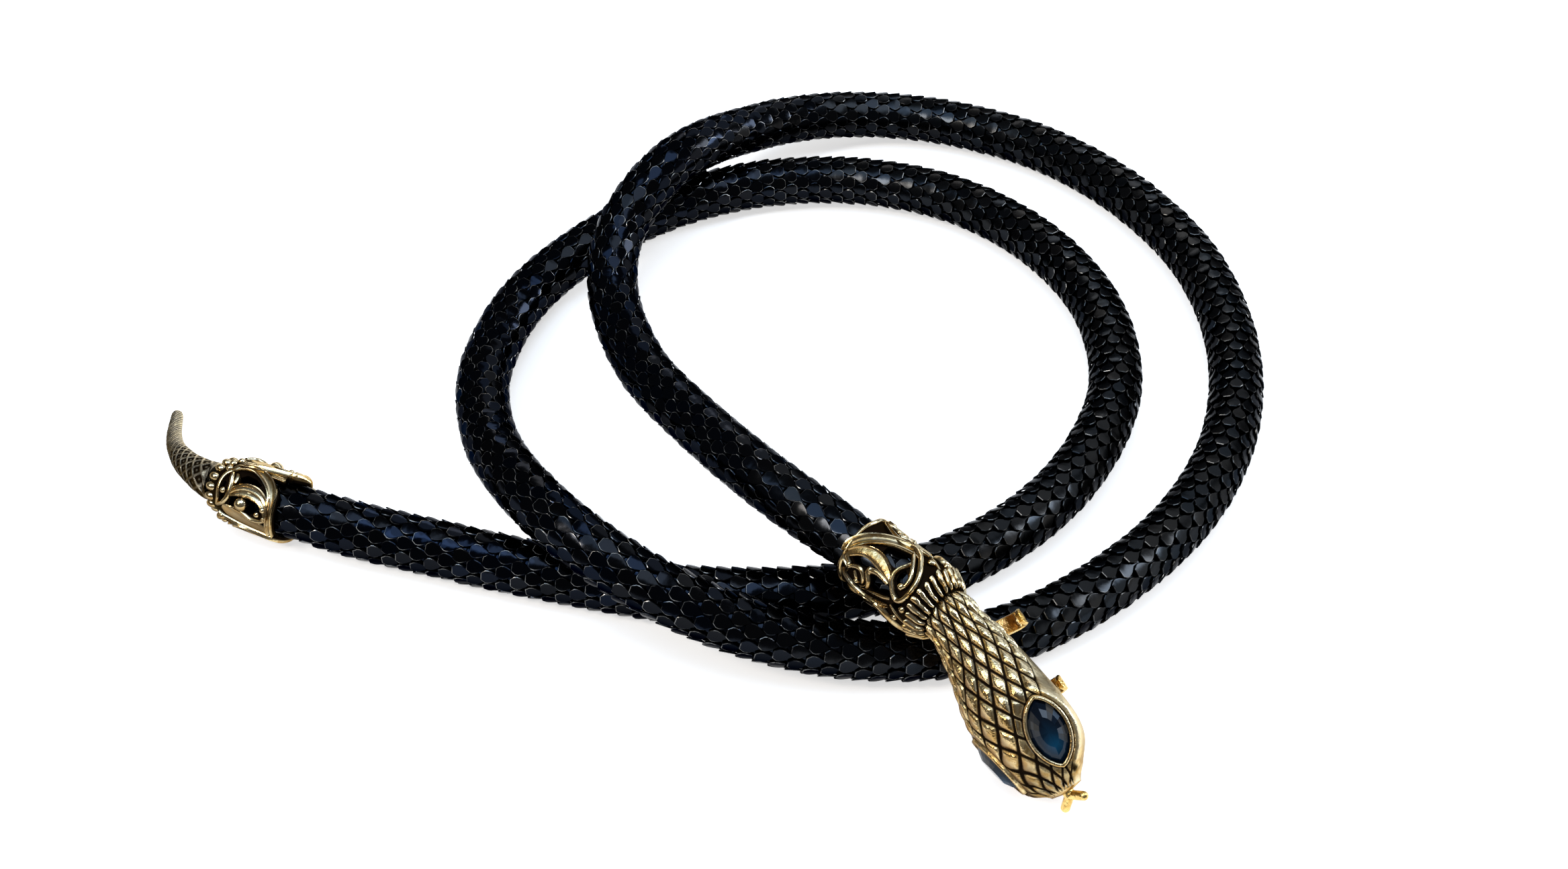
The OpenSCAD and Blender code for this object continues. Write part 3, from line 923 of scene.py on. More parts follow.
@dataclass(frozen=True)
class Band:
    """One cast band on a cuff.

    Attributes:
        FULL_HALF_WIDTH: the half width under which a band is lower in proportion.
        SUNK: how far its edges lie under the cuff's ground.
        path: the angle round the cuff, the place along it and the half width, point by point.
        style: its section.
        height: how far it stands above the cuff's ground.
    """

    FULL_HALF_WIDTH = 0.4
    SUNK = 0.05

    path: Sequence[Sequence[float]]
    style: BandStyle = BandStyle.GUTTER
    height: float = 0.55

    def surface(self, ground: Ground, shift: float = 0.0) -> Surface:
        """The section carried along the path on the unrolled cuff, then rolled round it: the
        angle is the distance round divided by the ground's radius.

        Args:
            ground: the cuff's ground.
            shift: degrees added to every angle.

        Returns:
            The closed band, with its finish value "lift".
        """
        rows = smooth_curve(self.path, 8)
        flat = np.stack([np.radians(rows[:, 0] + shift) * ground.radius, rows[:, 1]], axis=-1)
        way = unit(np.gradient(flat, axis=0))
        beside = np.stack([way[:, 1], -way[:, 0]], axis=-1)
        section = np.array(self.style.value, float)
        share = np.concatenate([section, [[1, -1], [-1, -1]]])[::-1]
        spread = flat[:, None] + beside[:, None] * (share[None, :, :1] * rows[:, 2, None, None])
        taper = np.minimum(1.0, rows[:, 2] / self.FULL_HALF_WIDTH)[:, None]
        above = np.maximum(share[:, 1], 0.0) * self.height * taper - self.SUNK
        lifted = np.where(share[:, 1] < 0, -ground.thickness, above)
        grid = ground.rolled(spread[..., 0], spread[..., 1], lifted)
        made = closed_ends(grid, grid[[0, -1]].mean(axis=1))
        lift = ramp(np.clip(share[:, 1], 0, 1), -0.25, 0.7)
        made.values["lift"] = np.concatenate([np.tile(lift, len(rows)), [0.5, 0.5]])
        return made


def ball(at: np.ndarray, radius: float, stretch: float = 1.0) -> Surface:
    """A bead: rings of latitude at equal steps, closed by a fan at each pole, and drawn out
    along z by the stretch."""
    columns, rows = 14, 9
    latitude = np.linspace(-0.5, 0.5, rows + 2)[1:-1] * math.pi
    angle = turns(columns)
    ring = radius * np.cos(latitude)[:, None]
    height = radius * stretch * np.sin(latitude)[:, None] + 0.0 * angle
    grid = np.stack([ring * np.cos(angle), ring * np.sin(angle), height], axis=-1)
    made = closed_ends(grid + at, np.array([[0, 0, -radius], [0, 0, radius]]) * stretch + at)
    made.values["lift"] = np.ones(len(made.points))
    return made


def almond(length: float, width: float, steps: int, fullness: float = 0.3) -> np.ndarray:
    """An almond outline with pointed ends: two arcs of one radius, filled out by a share of
    the way towards an ellipse."""
    radius = (length**2 + width**2) / (4 * width)
    half = math.asin(length / (2 * radius))
    a = half - 2 * half * np.arange(steps) / steps
    x, y = radius * np.sin(a), radius * np.cos(a) - radius + width / 2
    oval = width / 2 * np.sqrt(np.clip(1 - (2 * x / length) ** 2, 0, 1))
    arc = np.stack([x, y + fullness * (oval - y)], axis=-1)
    return np.concatenate([arc, -arc])


def distance_to(outline: np.ndarray, points: np.ndarray) -> tuple[np.ndarray, np.ndarray]:
    """The signed distance to a closed outline, and the nearest point on it.

    Each edge's nearest point is found by projection, and the side by counting the edges
    that a line to the right crosses.

    Args:
        outline: the corners, in order.
        points: where to measure, shape (n, 2).

    Returns:
        The distance, less than 0 inside, and the nearest point.
    """
    ends = np.roll(outline, -1, axis=0)
    span = ends - outline
    rel = points[:, None] - outline[None]
    t = np.clip((rel * span).sum(-1) / (span * span).sum(-1), 0, 1)
    near = outline + t[..., None] * span
    gaps = np.linalg.norm(points[:, None] - near, axis=-1)
    best = gaps.argmin(axis=1)
    pick = np.arange(len(points))
    above = (outline[:, 1] > points[:, None, 1]) != (ends[:, 1] > points[:, None, 1])
    slope = np.where(np.abs(span[:, 1]) < 1e-9, 1e-9, span[:, 1])
    at_x = outline[:, 0] + (points[:, None, 1] - outline[:, 1]) * span[:, 0] / slope
    inside = (above & (points[:, None, 0] < at_x)).sum(axis=1) % 2 == 1
    return np.where(inside, -1.0, 1.0) * gaps[pick, best], near[pick, best]


@dataclass
class CuffShell:
    """The ground of a pierced cuff: a thin sleeve with its openings cut through.

    Attributes:
        REACH: how far a point on an opening's edge may be drawn on to its outline.
        LIFT: the finish value "lift" all over the sleeve.
        ground: its surface.
        low, high: its two ends.
        windows: the openings' outlines on the unrolled sleeve.
        rows, columns: how many points its grid has each way.
    """

    REACH = 0.4
    LIFT = 0.02

    ground: Ground
    low: float
    high: float
    windows: Sequence[np.ndarray]
    rows: int
    columns: int = 228

    @property
    def girth(self) -> float:
        """The way round the unrolled sleeve."""
        return 2 * math.pi * self.ground.radius

    def grid(self) -> tuple[np.ndarray, np.ndarray]:
        """The points of the unrolled sleeve, and the middles of the cells between them."""
        u = self.girth * np.arange(self.columns) / self.columns
        grid_v, grid_u = np.meshgrid(np.linspace(self.low, self.high, self.rows), u, indexing="ij")
        middle_u = grid_u[:-1] + self.girth / self.columns / 2
        middle_v = (grid_v[:-1] + grid_v[1:]) / 2
        spots = np.stack([grid_u.ravel(), grid_v.ravel()], axis=-1)
        return spots, np.stack([middle_u.ravel(), middle_v.ravel()], axis=-1)

    def measured(self, spots: np.ndarray, cells: np.ndarray) -> tuple[np.ndarray, ...]:
        """Measures the grid against every opening, also once round the sleeve each way.

        Args:
            spots: the grid's points.
            cells: the middles of its cells.

        Returns:
            Which cells lie in an opening, each point's distance to the nearest outline, and
            its nearest place on that outline.
        """
        open_cell = np.zeros(len(cells), bool)
        best = np.full(len(spots), np.inf)
        target = spots.copy()
        for outline in self.windows:
            for wrap in (-self.girth, 0.0, self.girth):
                placed = outline + [wrap, 0.0]
                near_cells = self._near(placed, cells)
                if not near_cells.any():
                    continue
                open_cell[near_cells] |= distance_to(placed, cells[near_cells])[0] < 0
                near_spots = self._near(placed, spots)
                gap, spot = distance_to(placed, spots[near_spots])
                closer = np.abs(gap) < best[near_spots]
                chosen = np.flatnonzero(near_spots)[closer]
                best[chosen], target[chosen] = np.abs(gap)[closer], spot[closer]
        return open_cell, best, target

    def surface(self) -> Surface:
        """The sleeve on a grid. A cell with its middle in a window is left out, and the
        points on the edge of the rest are drawn on to the window's outline.

        Returns:
            The sleeve, closed at its rims and round each opening, with "lift" low all over.
        """
        spots, cells = self.grid()
        open_cell, best, target = self.measured(spots, cells)
        solid = np.zeros((self.rows + 1, self.columns), bool)
        solid[1:-1] = ~open_cell.reshape(self.rows - 1, self.columns)
        before = np.roll(solid, 1, axis=1)
        around = sum(part.astype(int) for part in (solid[1:], solid[:-1], before[1:], before[:-1]))
        around[[0, -1]] = 0
        edge = ((around > 0) & (around < 4)).ravel() & (best < self.REACH)
        spots[edge] = target[edge]
        across, along = spots.T
        level = np.zeros(len(spots))
        outer = self.ground.rolled(across, along, level)
        inner = self.ground.rolled(across, along, level - self.ground.thickness)
        quads = grid_faces(self.rows, self.columns).reshape(self.rows - 1, self.columns, 4)
        kept = quads[solid[1:-1]]
        total = len(spots)
        points = np.concatenate([outer, inner])
        faces = [kept, kept[:, ::-1] + total, self._walls(solid, total)]
        return Surface(points, faces, {"lift": np.full(len(points), self.LIFT)})

    def _near(self, outline: np.ndarray, points: np.ndarray) -> np.ndarray:
        """Which points lie within a millimetre of an outline's box."""
        low, high = outline.min(axis=0) - 1.0, outline.max(axis=0) + 1.0
        return ((points > low) & (points < high)).all(axis=1)

    def _walls(self, solid: np.ndarray, total: int) -> np.ndarray:
        """The quads between the outer and inner faces, wherever a kept cell meets an open
        one or a rim of the sleeve.

        Args:
            solid: which cells are kept, with an empty row before the first and after the last.
            total: how many points the outer face has.

        Returns:
            Four point numbers for each quad.
        """
        index = np.arange(total).reshape(self.rows, self.columns)
        following = np.roll(index, -1, axis=1)
        lower, upper = solid[:-1], solid[1:]
        cell = solid[1:-1]
        before = np.roll(cell, 1, axis=1)
        left, right = cell & ~before, before & ~cell
        starts = [
            index[upper & ~lower], following[lower & ~upper], index[1:][left], index[:-1][right]
        ]
        ends = [
            following[upper & ~lower], index[lower & ~upper], index[:-1][left], index[1:][right]
        ]
        a, b = np.concatenate(starts), np.concatenate(ends)
        return np.stack([b, a, a + total, b + total], axis=-1)


@dataclass
class PiercedCuff(ABC):
    """A pierced cuff: a sleeve under bands and beads, one motif repeated round it.

    Attributes:
        BEAD_RISE, BEAD_SINK: a bead's middle stands at the rise less its radius times the sink.
        at: the place of its end on the middle line.
        turn: the direction of its z, which lies level, in degrees.
        length: how far it runs back from z = 0.
        ground: the surface that its bands stand on.
        sleeve_end: where along z its sleeve ends.
        sleeve_rows: how many rows of points the sleeve's grid has.
        motifs: how many times its motif is repeated.
    """

    BEAD_RISE = 0.42
    BEAD_SINK = 0.4

    at: Sequence[float]
    turn: float
    length: float
    ground: Ground
    sleeve_end: float
    sleeve_rows: int
    motifs: int = 3

    @abstractmethod
    def openings(self) -> Sequence[Sequence[Sequence[float]]]:
        """One motif's openings: the angle and the place of each corner."""

    @abstractmethod
    def bands(self) -> list[Band]:
        """One motif's bands."""

    @abstractmethod
    def beads(self) -> list[tuple[float, float, float]]:
        """Angle, place and radius of one motif's beads."""

    def place(self) -> Place:
        """Where the cuff stands."""
        return Place(np.array(self.at, float), spun(0, 0, self.turn) @ spun(0, 90, 0))

    def sleeve(self) -> Surface:
        """The sleeve, with the motif's openings cut through it at each turn."""
        shifts = [math.radians(360 * k / self.motifs) for k in range(self.motifs)]
        outlines = [np.array(corners) * [math.radians(1), 1] for corners in self.openings()]
        windows = [(o + [shift, 0]) * [self.ground.radius, 1] for shift in shifts for o in outlines]
        shell = CuffShell(self.ground, -self.length, self.sleeve_end, windows, self.sleeve_rows)
        return shell.surface()

    def relief(self) -> list[Surface]:
        """The motif's bands and beads, at each turn."""
        made = []
        for shift in (360 * k / self.motifs for k in range(self.motifs)):
            made += [band.surface(self.ground, shift) for band in self.bands()]
            for angle, along, radius in self.beads():
                rise = self.BEAD_RISE - self.BEAD_SINK * radius
                made.append(ball(self.ground.spot(angle + shift, along, rise), radius))
        return made


@dataclass
class NeckCuff(PiercedCuff):
    """The pierced cuff behind the head, with its fluted collar.

    Attributes:
        flutes: how many ribs the collar has.
        seed: the start of the random draws.
        seat_radius: the radius of the hollow that the head's round root sits in.
        seat_at: how far the hollow's centre lies ahead of the collar.
        seat_depth: how far back the hollow runs.
        head_spin: how the head is turned about x, then y, then z, in degrees.
    """

    at: Sequence[float] = (34.3, -58.6, 17)
    turn: float = -46
    length: float = 16.3
    ground: Ground = Ground(
        ((-16.3, 5.36), (-2.6, 5.36), (-1.9, 5.2), (-1.0, 4.75), (0.0, 4.32)), thickness=0.4
    )
    sleeve_end: float = -3.2
    sleeve_rows: int = 94
    flutes: int = 27
    seed: int = 11
    seat_radius: float = 4.05
    seat_at: float = 1.2
    seat_depth: float = 2.4
    head_spin: Sequence[float] = (68, 21.5, -56)

    def head_place(self) -> Place:
        """Where the head stands: its x runs to the snout, y to its left, z up."""
        return Place(self.place().out(np.array([0.0, 0.0, self.seat_at])), spun(*self.head_spin))

    def openings(self) -> Sequence[Sequence[Sequence[float]]]:
        """One motif's openings: the angle and the place of each corner."""
        return (
            (
                (166, -8.4), (178, -6.6), (190, -5.9), (199, -7.0), (205, -8.0), (201, -9.6),
                (195, -11), (182, -11), (170, -9.9),
            ),
            (
                (239, -10.7), (233, -9.8), (231, -8.6), (234, -7.0), (241, -6.0), (252, -5.8),
                (259, -7.6), (261, -9.4), (250, -10.6),
            ),
            (
                (231, -14.6), (221, -13.8), (216.5, -12.4), (218.5, -10.8), (224, -9.8), (230, -11.1),
                (234, -12.2), (238, -13.6),
            ),
            ((196, -6.2), (206, -6.6), (219, -6.4), (226, -5.6), (219, -4.8), (207, -4.8)),
            ((262, -4.8), (256, -5.4), (246, -4.4), (243, -3.9), (252, -3.7), (262, -3.8)),
        )

    def bands(self) -> list[Band]:
        """One motif's bands, measured in the picture."""
        return [
            # The broad arch that turns down and closes into the loop
            Band((
                (231, -16.0, 0.5), (222, -16.0, 0.75), (212, -15.5, 0.95), (201, -14.7, 1.0),
                (189, -13.5, 1.0), (178, -12.1, 1.0), (169, -10.6, 1.0), (163, -9.0, 1.0),
                (161.5, -7.7, 0.85), (164, -6.5, 0.6), (170, -5.6, 0.3),
            ), BandStyle.GUTTER, 0.72),
            # The wire that carries the arch on round the loop and closes it
            Band((
                (156, -8.8, 0.3), (156, -7.9, 0.42), (159, -7.0, 0.5), (165, -6.1, 0.52),
                (174, -5.3, 0.5), (188, -4.2, 0.48), (201, -3.5, 0.47), (214, -3.3, 0.46),
                (228, -3.45, 0.45), (238, -3.9, 0.44), (242, -4.6, 0.44), (238.5, -5.4, 0.44),
                (230.5, -6.2, 0.43), (222.5, -6.8, 0.42), (212, -7.1, 0.4), (201.5, -6.9, 0.38),
                (193.5, -6.5, 0.36), (184, -6.2, 0.28),
            ), BandStyle.ROUND, 0.95),
            # The second wire inside the loop
            Band((
                (164, -7.6, 0.3), (173, -6.8, 0.42), (182, -6.1, 0.44), (193.7, -5.2, 0.44),
                (205, -4.6, 0.44), (214.7, -4.5, 0.42), (222, -4.8, 0.36),
            ), BandStyle.ROUND, 0.85),
            # The leaf whose end runs into the loop
            Band((
                (243, -14.3, 0.42), (238, -15.2, 0.55), (232, -15.4, 0.6), (224, -14.7, 0.68),
                (214.5, -13.6, 0.8), (209, -12.1, 1.0), (209.5, -10.5, 1.15), (214.5, -8.9, 1.0),
                (221.5, -7.6, 0.7), (228, -6.6, 0.4),
            ), BandStyle.BLADE, 0.7),
            # The thin band under it, which hooks back at its root
            Band((
                (268, -11.4, 0.3), (260, -10.4, 0.4), (249, -10.3, 0.45), (238, -10.9, 0.5),
                (231, -10.7, 0.55), (227.6, -9.7, 0.5), (228.4, -8.5, 0.45), (231, -7.2, 0.35),
            ), BandStyle.ROUND, 0.55),
            # The nested curl by the rim
            Band((
                (258, -14.6, 0.3), (249, -14.3, 0.4), (242, -13.4, 0.42), (239.6, -12.3, 0.42),
                (247, -11.5, 0.4), (257, -11.3, 0.36), (266, -12.0, 0.3),
            ), BandStyle.ROUND, 0.5),
            Band(((248, -13.2, 0.25), (255, -12.7, 0.36), (262, -12.4, 0.3)), BandStyle.ROUND, 0.5),
            # The rim's double edge
            Band((
                (236, -15.9, 0.25), (250, -15.95, 0.35), (264, -15.9, 0.38), (278, -15.8, 0.38),
                (292, -15.9, 0.35), (306, -16.0, 0.3), (330, -16.0, 0.3), (346, -16.0, 0.4),
            ), BandStyle.ROUND, 0.5),
            Band((
                (256, -15.2, 0.25), (265, -14.6, 0.36), (274, -13.2, 0.4), (280, -11.4, 0.45),
                (281, -9.6, 0.5), (275, -8.2, 0.55), (269, -6.8, 0.45), (264, -5.9, 0.25),
            ), BandStyle.GUTTER, 0.6),
            Band((
                (268, -10.2, 0.25), (262, -8.6, 0.34), (256, -7.0, 0.34), (250, -5.9, 0.25),
            ), BandStyle.ROUND, 0.4),
            Band(((260, -5.6, 0.18), (268, -4.4, 0.3), (276, -2.9, 0.2)), BandStyle.ROUND, 0.45),
        ]

    def beads(self) -> list[tuple[float, float, float]]:
        """Angle, place and radius of one motif's beads."""
        return [
            (251, -3.3, 0.58), (279, -4.6, 0.5), (244, -14.4, 0.45), (230, -10.8, 0.5), (222, -5.1, 0.6),
            (157, -4.4, 0.5), (262, -12.3, 0.42), (271, -7.3, 0.5),
        ]

    def collar(self) -> Surface:
        """The ring at the casting's end: a closed outline turned about z, its mouth hollowed
        to seat the head's round root. The hollow's radius is the root of the seat's radius
        squared less the distance from its centre squared."""
        depths = (0.0, self.seat_depth / 2, self.seat_depth)
        hollow = [(math.sqrt(self.seat_radius**2 - (self.seat_at + d) ** 2), -d, 0.0) for d in depths]
        return turned((
            (4.96, -3.6, 0.0), (5.36, -3.6, 0.0), (5.36, -2.6, 0.0), (4.75, -1.0, 0.0),
            (4.32, -0.1, 0.15), *hollow, (hollow[-1][0], -3.5, 0.0),
        ), 96)

    def ribs(self) -> list[Surface]:
        """The ribs round the collar: each starts in a rounded end, leans a little round the
        collar and thins towards the head, and no two are quite alike."""
        chance = np.random.default_rng(self.seed)
        made = []
        for k in range(self.flutes):
            angle, (lean, slip, breadth, swell) = 360 * k / self.flutes, chance.uniform(-1, 1, 4)
            path = (
                (angle - 3 + 1.5 * lean, -2.55 + 0.2 * slip, 0.26),
                (angle - 3 + lean, -2.2 + 0.15 * slip, 0.48),
                (angle - 2, -1.75, 0.5 + 0.05 * breadth),
                (angle, -1.2, 0.45 + 0.06 * swell),
                (angle + 2 + slip, -0.55, 0.42),
                (angle + 3.5, 0.05, 0.38),
                (angle + 4.5 + 2 * breadth, 0.5 + 0.06 * lean, 0.18),
            )
            made.append(Band(path, BandStyle.ROUND, 0.95 + 0.12 * breadth).surface(self.ground))
        return made

    def dress(self, gold: bpy.types.Material) -> None:
        """Makes the cuff as one casting."""
        parts = [self.sleeve(), self.collar(), *self.ribs(), *self.relief()]
        casting = Surface.joined(parts).moved(self.place().out)
        casting.shown("cast_neck_cuff", gold, Slot.ANTIQUE_GOLD, "neck_cuff")


@dataclass
class TailCuff(PiercedCuff):
    """The pierced cuff over the mesh's tail end, closed by a row of beads.

    Attributes:
        socket_radius: the radius of the hole that the tail sits in.
        row_beads: how many beads the row has.
        row_at: the row's place along the cuff.
        row_radius, row_stretch: a bead's radius, and how far it is drawn out along z.
        lowest: the height above the floor under which nothing reaches.
        leaf_turns: the turns at which the long leaf reaches out over the mesh.
    """

    at: Sequence[float] = (-69.6, -29.1, 6.1)
    turn: float = 155.5
    length: float = 14.0
    ground: Ground = Ground(
        ((-14.0, 5.36), (-4.6, 5.36), (-3.0, 5.0), (-1.4, 4.3), (0.0, 3.5)), thickness=0.4
    )
    sleeve_end: float = -0.3
    sleeve_rows: int = 86
    socket_radius: float = 2.55
    row_beads: int = 15
    row_at: float = -0.9
    row_radius: float = 0.74
    row_stretch: float = 1.35
    lowest: float = 0.04
    leaf_turns: Sequence[float] = (0, 75)

    def place(self) -> Place:
        """Where the cuff stands: at is its end over the mesh, and z is 0 at the other."""
        mesh_end = super().place()
        return Place(mesh_end.out(np.array([0.0, 0.0, self.length])), mesh_end.axes)

    def openings(self) -> Sequence[Sequence[Sequence[float]]]:
        """One motif's openings: the angle and the place of each corner."""
        return (
            ((157, -6.6), (167, -6.1), (176, -7.0), (175, -8.8), (167, -10.4), (160, -9.6), (157, -8.0)),
            ((116, -4.0), (126, -3.7), (140, -3.5), (154, -3.6), (150, -4.6), (133, -4.9), (120, -4.4)),
            (
                (109, -6.6), (116, -5.6), (132, -5.9), (141, -7.4), (142, -9.4), (136, -11.2),
                (120, -11.6), (108, -9.4),
            ),
            (
                (196, -6.4), (195.5, -8.0), (190, -10.2), (180, -12.0), (168, -13.3),
                (158, -14.1), (158, -14.6), (199, -14.6), (199, -12), (198, -9),
            ),
        )

    def bands(self) -> list[Band]:
        """One motif's bands, measured in the picture."""
        return [
            # The arch that also edges the rim
            Band((
                (166, -3.7, 0.35), (176, -4.4, 0.5), (185, -5.2, 0.62), (190, -6.4, 0.7),
                (190, -7.8, 0.78), (184, -9.6, 0.85), (174, -11.4, 0.9), (162, -12.7, 0.85),
                (146, -13.4, 0.72), (127, -13.6, 0.6), (108, -13.6, 0.6), (92, -13.5, 0.6),
                (80, -13.5, 0.5),
            ), BandStyle.GUTTER, 0.72),
            # The almond loop by the beads
            Band((
                (106, -3.0, 0.3), (122, -3.3, 0.38), (138, -3.0, 0.4), (154, -3.0, 0.42),
                (167, -3.4, 0.42), (174, -4.1, 0.36),
            ), BandStyle.ROUND, 0.6),
            Band((
                (174, -4.3, 0.3), (163, -4.8, 0.4), (148, -5.3, 0.44), (130.5, -5.3, 0.44),
                (116.5, -4.5, 0.42), (107, -3.2, 0.3),
            ), BandStyle.ROUND, 0.66),
            # The inner arch, ribbed along its length
            Band((
                (136, -5.6, 0.6), (144, -6.7, 0.95), (149, -8.2, 1.15), (149, -9.9, 1.15),
                (144, -11.4, 1.0), (135, -12.4, 0.85), (125, -12.9, 0.6), (114, -13.1, 0.35),
            ), BandStyle.RIBBED, 0.62),
            # The chips between the loop and the arch
            Band((
                (172, -5.2, 0.25), (166, -5.7, 0.42), (158, -5.8, 0.45), (152, -5.6, 0.25),
            ), BandStyle.BLADE, 0.5),
            # The edge under the round bead and the plate below it
            Band((
                (116, -7.4, 0.2), (109, -8.6, 0.34), (103, -10.1, 0.4), (105, -11.8, 0.4),
                (112, -13.0, 0.3),
            ), BandStyle.ROUND, 0.55),
            Band((
                (109, -4.4, 0.6), (103, -5.8, 1.2), (97, -7.4, 1.5), (92, -9.3, 1.5), (89, -11.4, 1.3),
                (87, -13.0, 0.8),
            ), BandStyle.BLADE, 0.3),
            Band((
                (91, -3.4, 0.3), (86, -4.8, 0.45), (80, -6.6, 0.5), (75, -8.8, 0.5), (72, -11.0, 0.48),
                (71, -13.2, 0.35),
            ), BandStyle.GUTTER, 0.42),
        ]

    def leaf(self) -> Band:
        """The long leaf that reaches out over the mesh."""
        return Band((
            (188, -4.4, 0.4), (192, -5.6, 0.62), (196.5, -7.6, 0.76), (201, -9.8, 0.8),
            (205.5, -12.0, 0.74), (209.5, -14.0, 0.58), (212.5, -15.6, 0.36), (214, -16.6, 0.15),
        ), BandStyle.GUTTER, 0.74)

    def beads(self) -> list[tuple[float, float, float]]:
        """Angle, place and radius of one motif's beads."""
        return [
            (124, -8.0, 1.2), (128, -12.3, 0.55), (117, -11.3, 0.5), (137, -4.2, 0.55), (178, -3.2, 0.62),
            (192, -3.0, 0.7), (202, -3.9, 0.6), (113, -12.6, 0.4),
        ]

    def end_ring(self) -> Surface:
        """The solid end round the tail's root, a closed outline turned about z."""
        return turned((
            (self.socket_radius, -4.2, 0.0), (4.7, -4.2, 0.0), (4.55, -2.4, 0.05), (3.9, -1.1, 0.05),
            (3.4, -0.1, 0.1), (3.2, 0.0, 0.1), (self.socket_radius, 0.0, 0.0),
        ), 72)

    def bead_row(self) -> list[Surface]:
        """The beads at the cuff's end, an equal angle apart."""
        angles = (360 * (k + 0.5) / self.row_beads for k in range(self.row_beads))
        spots = (self.ground.spot(angle, self.row_at, 0.0) for angle in angles)
        return [ball(spot, self.row_radius, self.row_stretch) for spot in spots]

    def dress(self, gold: bpy.types.Material) -> None:
        """Makes the cuff as one casting."""
        parts = [self.sleeve(), self.end_ring(), *self.bead_row(), *self.relief()]
        parts += [self.leaf().surface(self.ground, turn) for turn in self.leaf_turns]
        casting = Surface.joined(parts).moved(self.place().out)
        casting.points[:, 2] = np.maximum(casting.points[:, 2], self.lowest)
        casting.shown("cast_tail_cuff", gold, Slot.ANTIQUE_GOLD, "tail_cuff")


@dataclass
class EyeSeat:
    """Where an eye lies in the head: z is the way the stone faces.

    Attributes:
        at: the middle of the stone's girdle.
        face: how far above level the stone faces, out to the side, in degrees.
        lean: how far it leans towards the snout.
        toe: how far its long axis is turned.
        stone_length, stone_width: the girdle's size.
        seed: the start of the random draws.
        steps: how many facets each side of the stone has.
        rings: share of the stone's length, share of its width and height, from its foot up.
        chance_tone: the most that chance gives a facet's tone.
        least_tint: the least share of its tone that a facet in a painted reflection has.
        painted_reflections: the middle of each patch of facets toned as a painted reflection, how far it
            reaches and its tone.
        table_height: the height from which facets get no painted reflection.
        glow: the painted glow's middle and its reach, each along and across the stone.
        bezel: out from the stone's outline, height and the finish's height, point by point.
        room: how far the bezel's outline passes the stone's, in length and in width.
    """

    at: Sequence[float] = (22.0, 5.7, 1.9)
    face: float = 49
    lean: float = 11
    toe: float = -10
    stone_length: float = 10.3
    stone_width: float = 6.0
    seed: int = 5
    steps: int = 8
    rings: Sequence[tuple[float, float, float]] = (
        (0.9, 0.9, -0.72), (1.0, 1.0, 0.0), (0.85, 0.82, 0.52), (0.68, 0.64, 1.06),
        (0.44, 0.41, 1.56),
    )
    chance_tone: float = 0.35
    least_tint: float = 0.6
    painted_reflections: Sequence[tuple[tuple[float, float], float, float]] = (
        ((-2.6, 1.3), 1.1, 1.0), ((-1.7, -1.7), 1.5, 0.7), ((0.9, 2.2), 1.1, 0.85),
        ((2.8, -1.4), 1.0, 0.36),
    )
    table_height: float = 1.5
    glow: Sequence[tuple[float, float]] = ((1.9, 0.1), (1.6, 1.2))
    bezel: Sequence[tuple[float, float, float]] = (
        (-0.03, -1.3, 0.1), (-0.03, 0.10, 0.1), (-0.46, 0.56, 0.1), (-0.42, 0.68, 0.3),
        (-0.28, 0.76, 0.85), (-0.1, 0.77, 1.0), (0.06, 0.68, 1.0), (0.17, 0.46, 0.85),
        (0.23, 0.1, 0.4), (0.28, -1.4, 0.1),
    )
    room: tuple[float, float] = (0.3, 0.2)

    def place(self) -> Place:
        """The seat of the left eye in the head's frame."""
        axes = spun(self.face - 90, 0, 0) @ spun(0, self.lean, 0) @ spun(0, 0, self.toe)
        return Place(np.array(self.at, float), axes)

    def rim(self) -> Surface:
        """The thin rim round the stone: a rounded section carried round an almond."""
        out, height, lift = np.array(self.bezel).T
        outline = almond(self.stone_length + self.room[0], self.stone_width + self.room[1], 26)
        way = unit(np.roll(outline, -1, axis=0) - np.roll(outline, 1, axis=0))
        beside = np.stack([way[:, 1], -way[:, 0]], axis=-1)
        flat = outline[:, None] + beside[:, None] * out[:, None]
        grid = np.concatenate([flat, height[:, None] + 0.0 * flat[..., :1]], axis=-1)
        faces = ring_faces(len(outline), len(out))
        return Surface(grid.reshape(-1, 3), [faces], {"lift": np.tile(lift, len(outline))})

    def stone(self) -> Surface:
        """The cut stone: a flat table, two crown rows and the girdle, with a flat foot. Each
        facet has its own corners and its own tone, as painted reflections: pale towards one
        shoulder, brown towards the other and dark elsewhere.

        Returns:
            The stone in the seat's frame, with its painted reflections in "tone" and glow in "glow".
        """
        rings = [
            np.insert(almond(self.stone_length * a, self.stone_width * b, self.steps), 2, height, axis=1)
            for a, b, height in self.rings
        ]
        ends = np.array([[0, 0, self.rings[0][2]], [0, 0, self.rings[-1][2]]])
        base = closed_ends(np.stack(rings), ends)
        chance = np.random.default_rng(self.seed)
        parts = []
        for faces in base.faces:
            count, size = faces.shape
            middle = base.points[faces].mean(axis=1)
            tones = self.chance_tone * chance.random(count)
            varied = self.least_tint + (1.0 - self.least_tint) * chance.random(count)
            # Painted reflections: patches of facets under the table are toned pale or brown.
            for spot, reach, tone in self.painted_reflections:
                near = np.hypot(*(middle[:, :2] - spot).T) < reach
                tones = np.where(near & (middle[:, 2] < self.table_height), tone * varied, tones)
            corners = base.points[faces].reshape(-1, 3)
            # Painted glow: teal light round a spot on the stone.
            away = (corners[:, :2] - self.glow[0]) / self.glow[1]
            values = {"tone": np.repeat(tones, size), "glow": np.exp(-(away**2).sum(axis=1))}
            parts.append(Surface(corners, [np.arange(count * size).reshape(-1, size)], values))
        return Surface.joined(parts)


